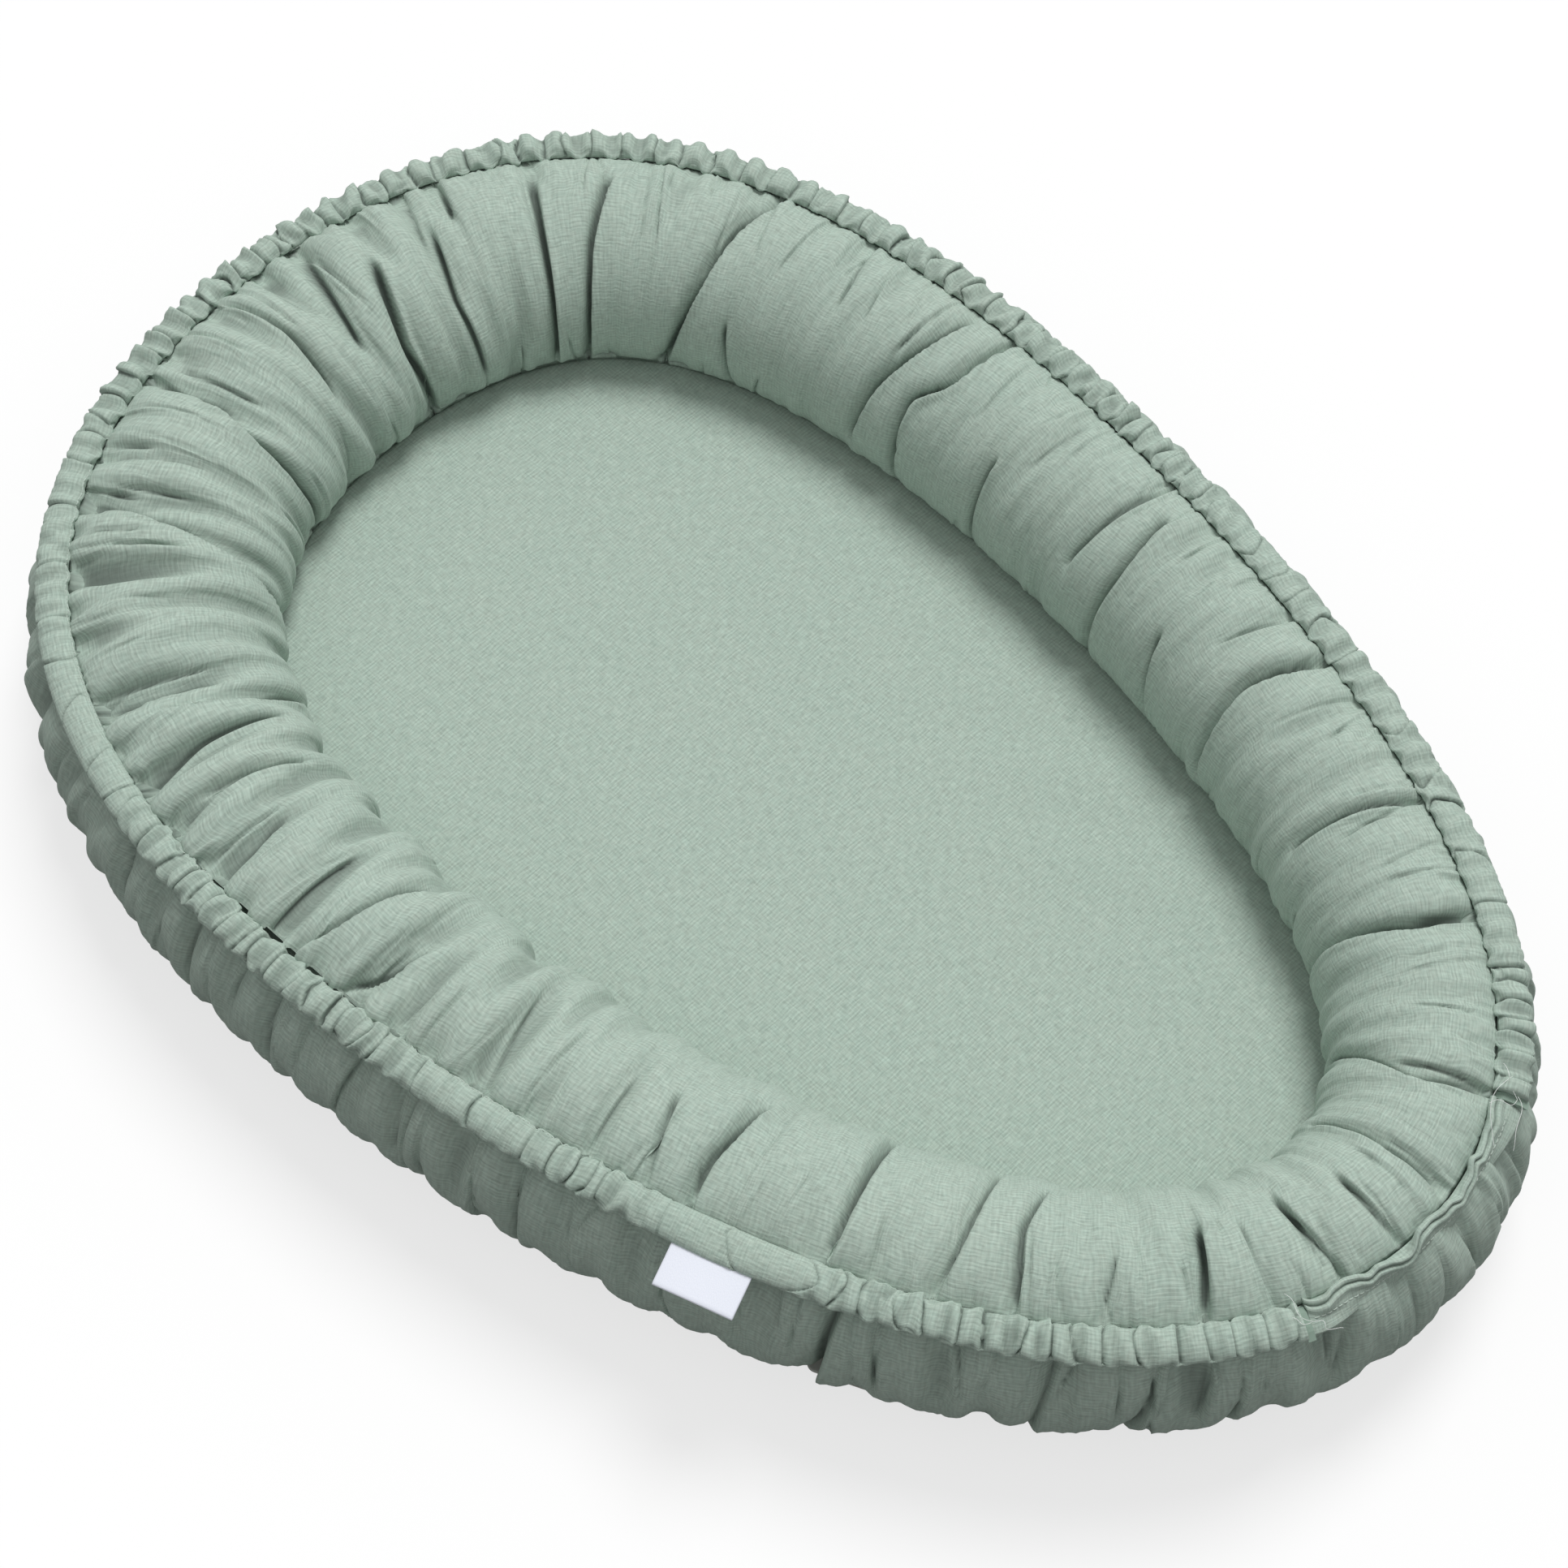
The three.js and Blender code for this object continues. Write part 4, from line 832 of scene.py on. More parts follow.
# Pleats that stand out on the wall: place at the seam, part of the way down where it starts and
# ends, place at its foot, depth in mm
WALL_TUCKS = [(0.657, 0.0, 0.7, 0.664, 13), (0.648, 0.0, 0.3, 0.648, 5), (0.61, 0.0, 0.44, 0.616, 6),
              (0.585, 0.0, 0.5, 0.595, 7), (0.573, 0.0, 0.3, 0.577, 5), (0.722, 0.0, 0.5, 0.72, 6),
              (0.745, 0.05, 0.5, 0.744, 6), (0.80, 0.0, 0.5, 0.797, 7), (0.822, 0.0, 0.3, 0.82, 5),
              (0.845, 0.0, 0.45, 0.842, 5), (0.778, 0.0, 0.46, 0.776, 5)]


class OuterWall(UpperCover):
    """The same oval below the casing. The gathers hang out into soft folds, and the hidden part under
    the roll is flat on the floor."""

    seed, waves, start = 4, 50, 2.5 * mm

    def angle(self, share, part):
        high = seam_angle(share) - SEAM_CLEAR / half_height(share)
        low = CONTACT_ANGLE - TURN + SEAM_CLEAR / half_height(share)
        return high + (low - high) * part

    def proudest(self, share, part):
        return np.interp(part, [0, 0.55, 0.66, 1], [5.5 * mm, 5.5 * mm, 0.3 * mm, 0.3 * mm])

    def lowest(self, part):
        return 0 * part

    def spare(self, share, part):
        return np.interp(part, [0, 0.3, 0.62, 0.7, 1], [0.14, 0.09, 0.04, 0, 0]) + 0 * share


pleats = [Tuck([first, last], (low, high), 0.75 * depth * mm, -1, 5 * mm, 14 * mm, 0.12)
          for first, low, high, last, depth in WALL_TUCKS]
WALL_GATHERS = 130
gathers = []
for i in range(WALL_GATHERS):
    where = (i + draw.uniform(0.1, 0.9)) / WALL_GATHERS
    gathers.append(Tuck([where, where + draw.uniform(-0.006, 0.006)], (0, draw.uniform(0.1, 0.42)),
                        draw.uniform(1.5, 5) * mm, draw.choice((-1, 1)), draw.uniform(2, 3.5) * mm,
                        draw.uniform(5, 12) * mm, 0.1))
wall = OuterWall(pleats)
cloth = creased(settled(WALL_COLUMNS, WALL_CLOTH_ROWS, wall), pleats + gathers)
cloth[..., 2] = np.maximum(cloth[..., 2], 0)
lower = closed_cover("roll_cover_lower", wall, WALL_COLUMNS, WALL_ROWS, WALL_CLOTH_ROWS, cloth, WALL_GIRTH)
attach(lower, "nest")
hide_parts("bolster_cover_lower")

# Gathered casing: a tunnel of the same muslin sewn into the cover's seam. The elastic inside draws it
# up into soft puffs with crisp creases between them; at the label and on the left it lies flat.
CASING_DROP = math.radians(12)
CASING_SEAT = FOLD_RISE * 0.25 + 0.4 * mm
CASING_ROWS = 44
CASING_RING_COLUMNS = 2208
CASING_COLUMNS = 2000
CASING_GIRTH = 46 * mm
# How much longer the casing's cloth is than the seam it is gathered to
CASING_FULLNESS = 1.3
# Passes that smooth the casing out to find its folds, and how deep the painted shade is darkest
CASING_FOLDS = (16, 1 * mm)
# Middle of the tunnel, outwards and up from its seam, and its half sizes
CASING_MIDDLE = (6.6 * mm, 1.7 * mm)
CASING_HALF = (9 * mm, 3.8 * mm)
# How tightly the casing is gathered at places round the ring
TIGHTNESS = [(0, 1), (0.12, 0.9), (0.2, 0.75), (0.245, 1), (0.27, 0.5), (0.3, 0.45), (0.325, 0.9),
             (0.34, 0.5), (0.4, 0.35), (0.415, 0.95), (0.45, 0.9), (0.55, 0.7), (0.6, 0.9), (0.662, 0.9),
             (0.668, 0.1), (0.696, 0.1), (0.7, 0.95), (0.712, 0.95), (0.722, 0.35), (0.745, 0.35),
             (0.755, 1), (0.8, 0.85), (0.815, 0.5), (0.83, 0.25), (0.92, 0.3), (0.935, 0.85), (1, 1)]
# How far apart its creases are at places round the ring, in mm
CREASE_PITCH = [(0, 11), (0.13, 12), (0.245, 13), (0.25, 7), (0.27, 8), (0.275, 20), (0.335, 20),
                (0.345, 26), (0.4, 24), (0.405, 7), (0.44, 8), (0.549, 11), (0.66, 13), (0.668, 40),
                (0.694, 40), (0.7, 7), (0.713, 8), (0.72, 26), (0.75, 22), (0.755, 9), (0.8, 11),
                (0.83, 15), (0.84, 24), (0.92, 24), (0.93, 13), (1, 11)]
TACK_SHARES = (0.451, 0.549)
TACK_HALF = 1.8 * mm
LABEL_SHARE = 0.6825


def casing_place(share, along, rise):
    """A point of the casing, by its distance out from the seam and up from its middle line."""
    root_across, root_height = section(share, seam_angle(share), CASING_SEAT)
    return placed(share, root_across + along * math.cos(CASING_DROP) + rise * math.sin(CASING_DROP),
                  root_height - along * math.sin(CASING_DROP) + rise * math.cos(CASING_DROP))


class Casing:
    """An oval tunnel that hangs outwards from its seam, with the elastic inside. Its cloth is longer
    than the elastic lets it be, so it stands up in puffs."""

    seed, waves, start = 20, 150, 1.6 * mm
    push, doubled, hold, tucks = 0.004 * mm, 1.1 * mm, 0.02, ()
    crowd_reach, slit_deepest, slit_lowest = 2.2 * mm, 3.3 * mm, 3.4 * mm
    levels = [(4, 140, 0.6, 2, ()), (2, 80, 0.5, 3, (2, 3)), (1, 40, 0.5, 5, (3, 4))]

    def oval(self, share):
        across, height = section(share, seam_angle(share), CASING_SEAT)
        out, up = CASING_MIDDLE
        return (across + out * math.cos(CASING_DROP) + up * math.sin(CASING_DROP),
                height - out * math.sin(CASING_DROP) + up * math.cos(CASING_DROP),
                CASING_HALF[0], CASING_HALF[1] * (0.7 + 0.3 * self.tight(share)), -CASING_DROP)

    def tight(self, share):
        return np.interp(share, *np.array(TIGHTNESS).T)

    def angle(self, share, part):
        return math.pi + 0.45 - TURN * part

    def deepest(self, share, part):
        return np.interp(part, [0, 0.08, 0.15, 0.52, 0.6, 1], np.array([0.8, 0.8, 1.6, 1.6, 0.8, 0.8]) * mm)

    def proudest(self, share, part):
        top = np.interp(part, [0, 0.06, 0.15, 0.45, 0.57, 0.65, 1],
                        np.array([0.2, 1.8, 2.4, 2.4, 1.8, 0.2, 0.2]) * mm)
        return top * np.clip(np.abs(share - LABEL_SHARE) / 0.014, 0.1, 1)

    def lowest(self, part):
        return 0 * part

    def spare(self, share, part):
        ends = np.clip((np.abs(share - 0.5) - TACK_SHARES[1] + 0.5) / 0.004, 0, 1)
        return ends * self.tight(share) * np.interp(part, [0, 0.55, 0.65, 1], [0.18, 0.18, 0.08, 0.08])


def casing_run(name, first, last, columns, laid):
    """A length of the casing between two places, closed at both ends, and the points and lengths of
    its grid. A function lays its points, by their length round the ring and part of the girth."""
    bm, turn, girth = cloth_grid(columns, CASING_ROWS)
    start = length_at(first)
    length = start + (length_at(last) - start) % RING_LENGTH * turn
    points = laid(length, girth)
    run = finish_mesh(bm, name, points, muslin, (length * CASING_FULLNESS, girth * CASING_GIRTH))
    # Painted shade in the casing's folds, kept on its points
    paint_crease_shade(run, *CASING_FOLDS)
    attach(run, "nest")
    order = np.lexsort((turn, girth))
    grid = (CASING_ROWS + 1, columns + 1)
    return run, points[order].reshape(*grid, 3), length[order].reshape(grid)


tack_paces = raw_plan(np.array(TACK_SHARES))[4]
gathered_from = TACK_SHARES[1] + TACK_HALF / tack_paces[1]
gathered_to = TACK_SHARES[0] - TACK_HALF / tack_paces[0]
gathered_span = (length_at(gathered_to) - length_at(gathered_from)) % RING_LENGTH
creases = []
walked = 4 * mm
while walked < gathered_span:
    where = share_at(length_at(gathered_from) + walked)
    pitch = np.interp(where, *np.array(CREASE_PITCH).T)
    tight = np.interp(where, *np.array(TIGHTNESS).T)
    bend = draw.uniform(-0.3, 0.3) * pitch * mm / RING_LENGTH
    creases.append(Tuck([where, where + bend, where - 0.6 * bend], (0, draw.uniform(0.15, 0.35), 0.6),
                        draw.uniform(2.2, 4) * (0.35 + 0.65 * tight) * mm, draw.choice((-1, 1, 1)),
                        draw.uniform(1.5, 2.2) * mm, draw.uniform(3, 5) * mm, 0.06))
    walked += pitch * draw.uniform(0.7, 1.35) * mm
frill_cloth = creased(settled(CASING_RING_COLUMNS, CASING_ROWS, Casing()), creases)


def gathered(length, girth):
    """Points of the gathered casing, taken from its settled cloth."""
    at = length / RING_LENGTH * CASING_RING_COLUMNS
    whole, row = np.floor(at).astype(int), np.round(girth * CASING_ROWS).astype(int)
    f = (at - whole)[:, None]
    first, second = whole % CASING_RING_COLUMNS, (whole + 1) % CASING_RING_COLUMNS
    return frill_cloth[first, row] * (1 - f) + frill_cloth[second, row] * f


frill, frill_points, frill_lengths = casing_run(
    "casing_frill", gathered_from, gathered_to, CASING_COLUMNS, gathered)
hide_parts("casing_gathered")

# Ungathered casing round the foot: the same tunnel with no elastic in it. It is pressed flat against
# the outer wall, and only its sewn edge stands up, in a thick, winding double ridge.
FLAT_COLUMNS = 420
CASING_TOP_ROWS = 0.72
# Outline of the flat tunnel in mm, outwards and up from its seam
FLAT_OUTLINE = [(-1.0, -1.3), (-2.2, 0.6), (-1.7, 2.7), (-0.7, 3.3), (0.4, 2.8), (1.0, 1.0), (1.5, 0.9),
                (2.0, 2.3), (3.1, 2.9), (4.2, 2.4), (5.0, 1.2), (8.0, 0.3),
                (11.5, -0.9), (14.2, -2.0), (14.4, -2.8), (10.0, -2.8), (5.0, -2.4), (1.0, -2.0)]
FLAT_LIFT = 2.9 * mm


def walked_along(line):
    """How far each point of a line is from its start, along the line."""
    return np.concatenate([[0], np.cumsum(np.linalg.norm(np.diff(line, axis=0), axis=1))])


def flat_outline(rows):
    """The flat tunnel's outline, outwards and up. Most rows lie above its outer edge."""
    loop = np.array(FLAT_OUTLINE + FLAT_OUTLINE[:1]) * mm
    walked = walked_along(loop)
    walked /= walked[-1]
    edge = walked[loop[:, 0].argmax()]
    parts = np.interp(rows, [0, CASING_TOP_ROWS, 1], [0, edge, 1]) % 1
    fine = np.linspace(0, 1, 361)[:-1]
    found = []
    for k in (0, 1):
        line = np.pad(np.interp(fine, walked, loop[:, k]), SOFTEN_REACH, mode="wrap")
        line = np.convolve(line, SOFTEN, mode="valid")
        found.append(np.interp(parts, np.append(fine, 1), np.append(line, line[0])))
    return found


def pressed_flat(length, girth):
    """Points of the flat tunnel: it leaves the tacks as they are and then lies down on the wall."""
    along, rise = flat_outline(girth)
    share = share_at(length)
    ridge = smooth_step((rise + 1 * mm) / (2 * mm)) * smooth_step((8.5 * mm - along) / (4 * mm))
    along = along + ridge * mm * (4.5 * lumps(7, share, 0 * share, 105, 1)
                                  + 1.2 * lumps(9, share, 0 * share, 260, 1))
    rise = rise + ridge * mm * (2 * lumps(8, share, 0 * share, 150, 1) + 0.6)
    lift = FLAT_LIFT - 2.2 * mm * smooth_step(along / (12 * mm))
    angle = seam_angle(share) - along / half_height(share)
    on_wall = placed(share, *section(share, angle, rise + lift))
    from_end = np.minimum(length - length.min(), length.max() - length)
    lying = smooth_step((from_end - 3 * mm) / (30 * mm))[:, None]
    return casing_place(share, along, rise) * (1 - lying) + on_wall * lying


flat_run, flat_points, flat_lengths = casing_run(
    "casing_flat_run", TACK_SHARES[0] + TACK_HALF / tack_paces[0],
    TACK_SHARES[1] - TACK_HALF / tack_paces[1], FLAT_COLUMNS, pressed_flat)
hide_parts("casing_foot")

# Elastic inside the gathered casing: a narrow white woven band from one bar tack to the other. It
# lies in the tunnel, and nothing of it shows.
ELASTIC_FROM = 4.5 * mm
ELASTIC_WIDTH = 5 * mm
ELASTIC_THICK = 1.2 * mm
ELASTIC_SUNK = 0.2 * mm
elastic_cloth, start = new_material("elastic")
place = start.node("ShaderNodeTexCoord", {}, {}, "Object")
ribs = start.node("ShaderNodeTexNoise", {}, {"Vector": place, "Scale": 900.0, "Detail": 1.0})
show(start, start.node("ShaderNodeBsdfPrincipled", {}, {
    "Base Color": ribs.blend((0.7, 0.7, 0.66, 1), (0.84, 0.84, 0.8, 1)), "Roughness": 0.85}))
bm, turn, girth = cloth_grid(500, 16)
corner = TURN * girth
length = length_at(gathered_from) + gathered_span * turn
square = np.maximum(np.abs(np.cos(corner)), np.abs(np.sin(corner)))
along = ELASTIC_FROM + ELASTIC_WIDTH / 2 * (1 + np.cos(corner) / square)
rise = ELASTIC_THICK / 2 * np.sin(corner) / square - ELASTIC_SUNK
elastic = finish_mesh(bm, "elastic_inside", casing_place(share_at(length), along, rise), elastic_cloth)
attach(elastic, "nest")
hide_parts("elastic_band")

# Stitching: pale topstitches along the casing's sewn edge where it lies flat, the two bar tacks' own
# darker thread, and the loose white ends and the long loop of thread left at them.
STITCH = 2.3 * mm
STITCH_PITCH = 3.1 * mm
STITCH_ROW = 6
STITCH_FLAT_ROW = round(0.66 * CASING_TOP_ROWS * CASING_ROWS)
# Where the topstitches show, between shares of the ring
STITCHED = [(0.715, 0.75), (0.8, 0.812), (0.845, 0.925)]
STITCHED_FLAT = [(0.455, 0.545)]
THREAD_RADIUS = 0.24 * mm
HAIR_RADIUS = 0.11 * mm
# How high a stitch stands from end to end, in radii of its thread
STITCH_ARCH = np.array([-0.4, 0.8, 0.8, -0.4])
LOOSE_ENDS = 6
# The long loop: how far round the ring it goes, how far in it bows, how high it starts and rises
LOOP_LENGTH = 30 * mm
LOOP_BOW = 9 * mm
LOOP_START = 5 * mm
LOOP_RISE = 5.5 * mm


def thread_material(name, colour, roughness):
    """A plain, slightly fuzzy thread."""
    material, start = new_material(name)
    show(start, start.node("ShaderNodeBsdfPrincipled", {}, {
        "Base Color": colour, "Roughness": roughness, "Sheen Weight": 0.2}))
    return material


def sewn(name, lines, radius, material):
    """Threads as thin closed tubes along lines of points."""
    curve = bpy.data.curves.new(name, "CURVE")
    curve.dimensions = "3D"
    curve.bevel_depth = radius
    curve.bevel_resolution = 1
    curve.use_fill_caps = True
    for line in lines:
        spline = curve.splines.new("POLY")
        spline.points.add(len(line) - 1)
        spline.points.foreach_set("co", np.hstack([line, np.ones((len(line), 1))]).ravel())
    source = bpy.data.objects.new(name, curve)
    bpy.context.scene.collection.objects.link(source)
    mesh = bpy.data.meshes.new_from_object(source.evaluated_get(bpy.context.evaluated_depsgraph_get()))
    bpy.data.objects.remove(source)
    bpy.data.curves.remove(curve)
    mesh.materials.clear()
    mesh.materials.append(material)
    mesh.shade_smooth()
    made = bpy.data.objects.new(name, mesh)
    bpy.context.scene.collection.objects.link(made)
    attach(made, "nest")
    return made


def stitches(points, lengths, row, spans):
    """Short lines along one row of a casing's grid, one for each stitch, just above the cloth."""
    path, places = points[row], share_at(lengths[row])
    walked = walked_along(path)
    above = np.cross(np.gradient(path, axis=0), points[row + 1] - points[row - 1])
    above /= np.linalg.norm(above, axis=1)[:, None]
    above *= np.sign(above[:, 2:])
    found = []
    for start in np.arange(0, walked[-1] - STITCH, STITCH_PITCH):
        at = np.linspace(start, start + STITCH, 4)
        share = np.interp(at[0], walked, places)
        if any(low < share < high for low, high in spans):
            lift = np.interp(at, walked, np.arange(len(walked))).astype(int)
            line = np.stack([np.interp(at, walked, path[:, k]) for k in range(3)], axis=1)
            found.append(line + above[lift] * THREAD_RADIUS * STITCH_ARCH[:, None])
    return found


thread = thread_material("thread", (0.5, 0.58, 0.52, 1), 0.7)
topstitches = (stitches(frill_points, frill_lengths, STITCH_ROW, STITCHED)
               + stitches(flat_points, flat_lengths, STITCH_FLAT_ROW, STITCHED_FLAT))
sewn("topstitching", topstitches, THREAD_RADIUS, thread)

tack_thread = thread_material("tack_thread", (0.24, 0.33, 0.27, 1), 0.8)
white_thread = thread_material("white_thread", (0.84, 0.86, 0.84, 1), 0.6)
hairs = []
for i in range(LOOSE_ENDS):
    tack = TACK_SHARES[i % 2]
    heading = draw.uniform(-1.2, 1.2) + (math.pi if i % 3 == 0 else 0)
    reach = draw.uniform(10, 24) * mm
    bow = draw.uniform(-0.5, 0.5)
    steps = np.linspace(0, 1, 22)
    forward = reach * steps
    sideways = bow * reach * steps ** 2 + 1.5 * mm * np.sin(steps * draw.uniform(4, 8))
    ahead = forward * math.cos(heading) - sideways * math.sin(heading)
    beside = forward * math.sin(heading) + sideways * math.cos(heading)
    shares = tack + draw.uniform(-1, 1) * 2 * mm / tack_paces[0] + ahead / tack_paces[0]
    lift = 5.4 * mm + 2.5 * mm * np.sin(math.pi * steps) * draw.uniform(0.3, 1)
    hairs.append(casing_place(shares, 9 * mm + beside * 0.7, lift - np.clip(beside - 5 * mm, 0, 1) * 0.6))
steps = np.linspace(0, 1, 30)
shares = TACK_SHARES[0] + LOOP_LENGTH * (steps - 0.25) / tack_paces[0]
bow = np.sin(math.pi * steps)
hairs.append(casing_place(shares, LOOP_START - LOOP_BOW * bow, LOOP_START + LOOP_RISE * bow))
sewn("loose_thread_ends", hairs, HAIR_RADIUS, white_thread)
for name in ("bar_tack_left", "bar_tack_right"):
    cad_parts[name].data.materials.clear()
    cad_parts[name].data.materials.append(tack_thread)

# Lying surface: a top sheet of the same muslin, quilted to its wadding and sewn in round the inside of
# the roll, a little crowned by the pad below it.
SHEET_THICK = 1.5 * mm
SHEET_CROWN = 4 * mm
SHEET_TUCK_IN = 3 * mm
MIDDLE_Z = section(np.zeros(1), np.full(1, CONTACT_ANGLE), 0)[1][0] + SHEET_THICK / 2 + SHEET_CROWN


def crowned_oval(columns, rows, beyond):
    """A sheet's mesh, the depth and radius of its points, and the points: the oval inside the roll and
    a little beyond it, crowned in its middle. Depth runs over the top to the rim and back below."""
    bm, turn, depth = cloth_grid(columns, rows)
    radius = 1 - np.abs(2 * depth - 1)
    across, height = section(turn, np.full(len(turn), CONTACT_ANGLE), 0)
    points = placed(turn, across + beyond, height)
    rim = points[:, 2].copy()
    points *= radius[:, None]
    out = np.clip((radius - 0.4) / 0.6, 0, 1)
    points[:, 2] = MIDDLE_Z + (rim + SHEET_THICK / 2 - MIDDLE_Z) * out ** 2
    return bm, depth, radius, points


bm, depth, radius, points = crowned_oval(320, 120, SHEET_TUCK_IN)
x, y = points[:, 0], points[:, 1]
# Shallow ripples in two places: right of the middle towards the foot, and left of it towards the head
ripple = 0.9 * mm * np.sin((x * 0.8 + y * 0.6) * 118 + 1.5 * np.sin(y * 14)) * np.exp(
    -(((x - 0.115) / 0.05) ** 2 + ((y + 0.16) / 0.12) ** 2))
ripple += 0.5 * mm * np.sin((x * 0.9 - y * 0.35) * 60) * np.exp(
    -(((x + 0.09) / 0.06) ** 2 + ((y - 0.1) / 0.13) ** 2))
points[:, 2] += ripple * (1 - radius ** 6) - np.where(depth > 0.5, SHEET_THICK * (1 - radius ** 40), 0)
sheet = finish_mesh(bm, "lying_sheet", points, muslin, (points[:, 0], points[:, 1]))
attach(sheet, "nest")
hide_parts("base_sheet_top")

# Mattress pad: a white quilted wadding pad in the pocket under the lying surface. It fills the pocket
# and is thinner towards its edge.
PAD_BOTTOM = 15.3 * mm
PAD_CLEAR = 0.7 * mm
PAD_INSET = 4 * mm
bm, depth, radius, points = crowned_oval(200, 60, -PAD_INSET)
top = points[:, 2] - SHEET_THICK - PAD_CLEAR
quilting = 0.5 * mm * (np.abs(np.sin(points[:, 0] * 52)) * np.abs(np.sin(points[:, 1] * 52)))
half = (top - quilting - PAD_BOTTOM) / 2
points[:, 2] = PAD_BOTTOM + half + np.where(depth < 0.5, half, -half) * np.sqrt(1 - radius ** 24)
pad = finish_mesh(bm, "quilted_pad", points, wadding)
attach(pad, "nest")
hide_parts("mattress_pad")

# Under sheet: plain muslin stretched below the pad and sewn to the lower cover, with the zip's slot cut
# along its middle and stitched round.
UNDER_Z = 10 * mm
UNDER_THICK = 1.4 * mm
UNDER_ANGLE = math.radians(231)
UNDER_INSET = 1.8 * mm
SLOT_HALF_WIDTH = 6 * mm
SLOT_HALF_LENGTH = 213.6 * mm
bm, turn, girth = cloth_grid(360, 48)
around = girth % 1
spread = 1 - np.abs(2 * around - 1)
across, _ = section(turn, np.full(len(turn), UNDER_ANGLE), 0)
points = placed(turn, across - UNDER_INSET, 0 * across)
slot_x = np.clip(points[:, 0], -SLOT_HALF_WIDTH, SLOT_HALF_WIDTH)
slot_y = np.clip(points[:, 1], -SLOT_HALF_LENGTH, SLOT_HALF_LENGTH)
points[:, 0] = slot_x + (points[:, 0] - slot_x) * spread
points[:, 1] = slot_y + (points[:, 1] - slot_y) * spread
edge = np.sqrt(np.clip(1 - np.abs(2 * spread - 1) ** 60, 0, 1))
points[:, 2] = UNDER_Z + UNDER_THICK / 2 * (1 + np.where(around < 0.5, edge, -edge))
under = finish_mesh(bm, "under_sheet", points, muslin, (points[:, 0], points[:, 1]))
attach(under, "nest")
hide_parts("base_sheet_under")

SLOT_STITCH = SLOT_HALF_WIDTH + 2.5 * mm
slot_lines = []
for y in np.arange(-SLOT_HALF_LENGTH, SLOT_HALF_LENGTH, STITCH_PITCH):
    for x in (-SLOT_STITCH, SLOT_STITCH):
        ends = np.linspace(y, min(y + STITCH, SLOT_HALF_LENGTH), 4)
        below = UNDER_Z - THREAD_RADIUS * STITCH_ARCH
        slot_lines.append(np.stack([np.full(4, x), ends, below], axis=1))
sewn("slot_stitching", slot_lines, THREAD_RADIUS, thread)

# Zip in the under sheet: woven tapes, nylon coils with their end stops, and a zinc slider and puller.
# Their shapes are the source's own. Each finish has its colour, roughness, metallic and nodes.
zip_parts = {
    "zip_tape": ((0.36, 0.45, 0.39, 1), 0.85, 0.0, ("zip_tape_left", "zip_tape_right")),
    "nylon": ((0.28, 0.36, 0.31, 1), 0.45, 0.0,
              ("zip_coil_left", "zip_coil_right", "zip_stop_head", "zip_stop_foot")),
    "zinc": ((0.46, 0.47, 0.48, 1), 0.35, 1.0, ("zip_slider", "zip_puller")),
}
for slot_name, (colour, roughness, metallic, names) in zip_parts.items():
    finish, start = new_material(slot_name)
    place = start.node("ShaderNodeTexCoord", {}, {}, "Object")
    grain = start.node("ShaderNodeTexNoise", {}, {"Vector": place, "Scale": 1400.0, "Detail": 2.0})
    relief = start.node("ShaderNodeBump", {}, {"Height": grain, "Distance": 0.0002, "Strength": 0.25})
    show(start, start.node("ShaderNodeBsdfPrincipled", {}, {
        "Base Color": colour, "Roughness": roughness, "Metallic": metallic, "Normal": relief}))
    for name in names:
        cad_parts[name].data.materials.clear()
        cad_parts[name].data.materials.append(finish)

# Woven side label: a white satin ribbon folded in half and sewn in below the casing's edge. It stands
# out nearly level over the outer wall, and it is left bare.
LABEL_WIDTH = 40 * mm
# Section of the folded ribbon in mm, outwards and up from the casing's seam
LABEL_OUTLINE = [(14.6, 1.5), (34.8, 1.5), (36.0, 1.2), (36.4, 0.75), (36.0, 0.3), (34.8, 0), (14.6, 0),
                 (14.6, 0.42), (34.6, 0.42), (35.4, 0.75), (34.6, 1.08), (14.6, 1.08)]
satin, start = new_material("label_satin")
cloth = start.node("ShaderNodeUVMap", {"uv_map": "cloth"}, {})
drawn = start.node("ShaderNodeMapping", {"vector_type": "POINT"},
                   {"Vector": cloth, "Scale": (2600.0, 500.0, 1)})
ribs = start.node("ShaderNodeTexNoise", {"noise_dimensions": "2D"}, {"Vector": drawn, "Scale": 1.0})
relief = start.node("ShaderNodeBump", {}, {"Height": ribs, "Distance": 0.0002, "Strength": 0.3})
show(start, start.node("ShaderNodeBsdfPrincipled", {}, {
    "Base Color": ribs.blend((0.76, 0.795, 0.89, 1), (0.84, 0.865, 0.94, 1)), "Roughness": 0.42,
    "Sheen Weight": 0.15, "Normal": relief}))
bm, turn, girth = cloth_grid(40, 96)
loop = np.array(LABEL_OUTLINE + LABEL_OUTLINE[:1]) * mm
walked = walked_along(loop)
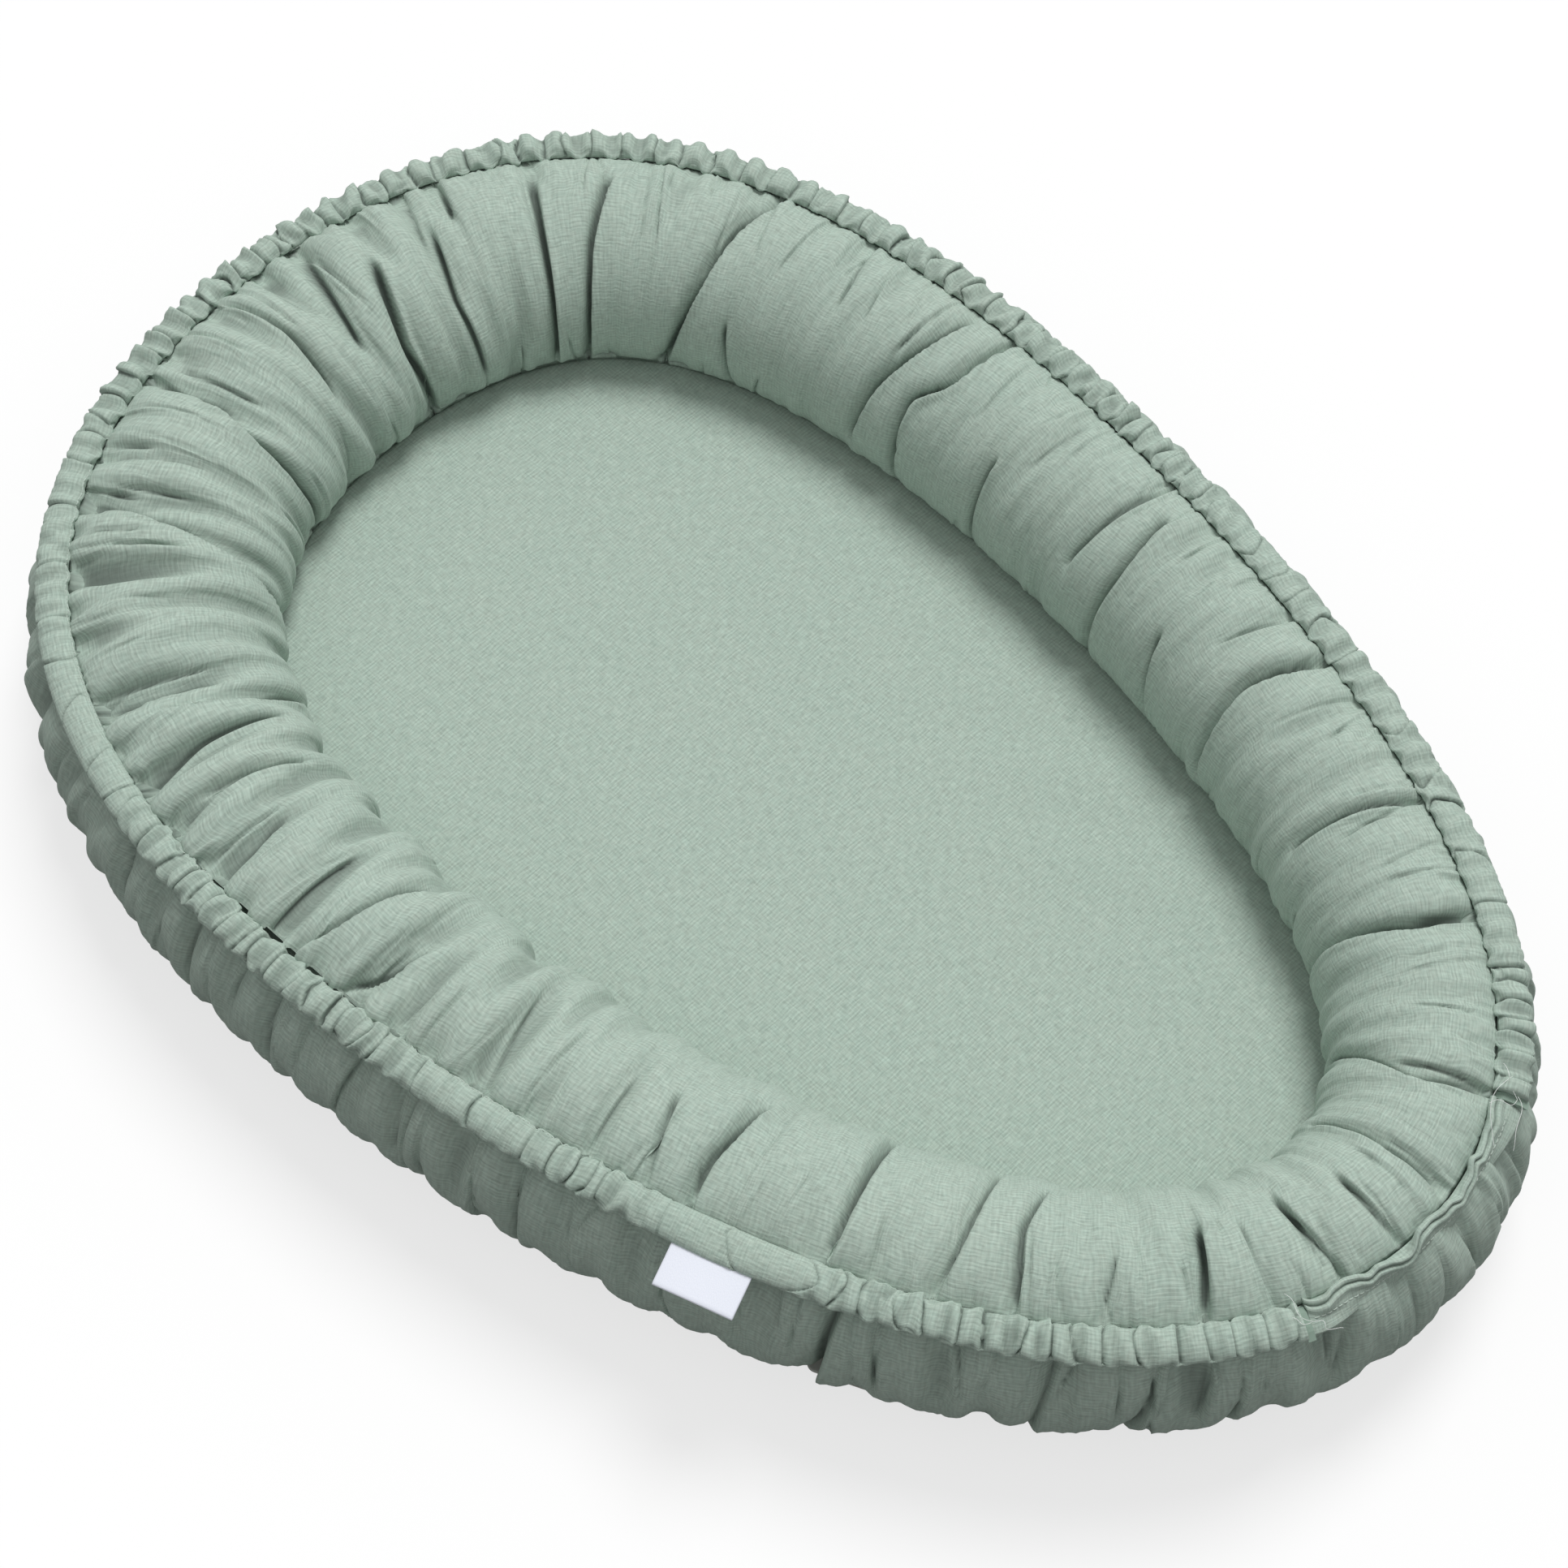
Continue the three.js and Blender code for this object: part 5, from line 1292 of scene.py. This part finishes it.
reach, lift = [np.interp(girth % 1, walked / walked[-1], loop[:, k]) for k in (0, 1)]
root, ahead, above = casing_place(np.full(3, LABEL_SHARE), np.array([0, 1, 0]), np.array([0, 0, 1]))
ahead, above = ahead - root, above - root
beside = np.cross(above, ahead) * LABEL_WIDTH
sway = 0.5 * mm * np.sin(math.pi * turn) * np.clip((reach - 14 * mm) / (22 * mm), 0, 1)
points = root + np.outer(turn - 0.5, beside) + np.outer(reach, ahead) + np.outer(lift + sway, above)
label = finish_mesh(bm, "woven_label", points, satin, (turn * LABEL_WIDTH, girth * 2 * walked[-1]))
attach(label, "nest")
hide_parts("side_label")

# Care label: a strip of white satin sewn in under the roll, coloured dark grey-beige as painted shade. Its
# rounded end peeps out on the floor, and it is left bare.
CARE_SHARE = 0.657
CARE_WIDTH = 35 * mm
CARE_FROM = 14 * mm
CARE_TO = 38.4 * mm
CARE_ROUND = 5 * mm
CARE_Z = 0.6 * mm
CARE_HALF_THICK = 0.24 * mm
care_satin, start = new_material("care_label_satin")
# Painted shade: the white satin's colour is darkened to grey-beige
show(start, start.node("ShaderNodeBsdfPrincipled", {}, {
    "Base Color": (0.36, 0.37, 0.34, 1), "Roughness": 0.6}))
bm, turn, depth = cloth_grid(40, 40)
spread = 1 - np.abs(2 * depth - 1)
beside = (turn - 0.5) * CARE_WIDTH
corner = np.clip(np.abs(beside) - (CARE_WIDTH / 2 - CARE_ROUND), 0, CARE_ROUND)
reach = CARE_FROM + spread * (CARE_TO - CARE_FROM - CARE_ROUND + np.sqrt(CARE_ROUND ** 2 - corner ** 2))
root, ahead, beyond = placed(np.full(3, CARE_SHARE), np.array([0, 1, 0]), np.array([0, 0, 1]))
sideways = np.cross(beyond - root, ahead - root)
points = root + np.outer(reach, ahead - root) + np.outer(beside, sideways)
side = np.where(depth < 0.5, CARE_HALF_THICK, -CARE_HALF_THICK)
points[:, 2] = CARE_Z + np.where((spread > 0.999) | (spread < 0.001), 0, side)
care = finish_mesh(bm, "care_strip", points, care_satin)
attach(care, "nest")
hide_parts("care_label")
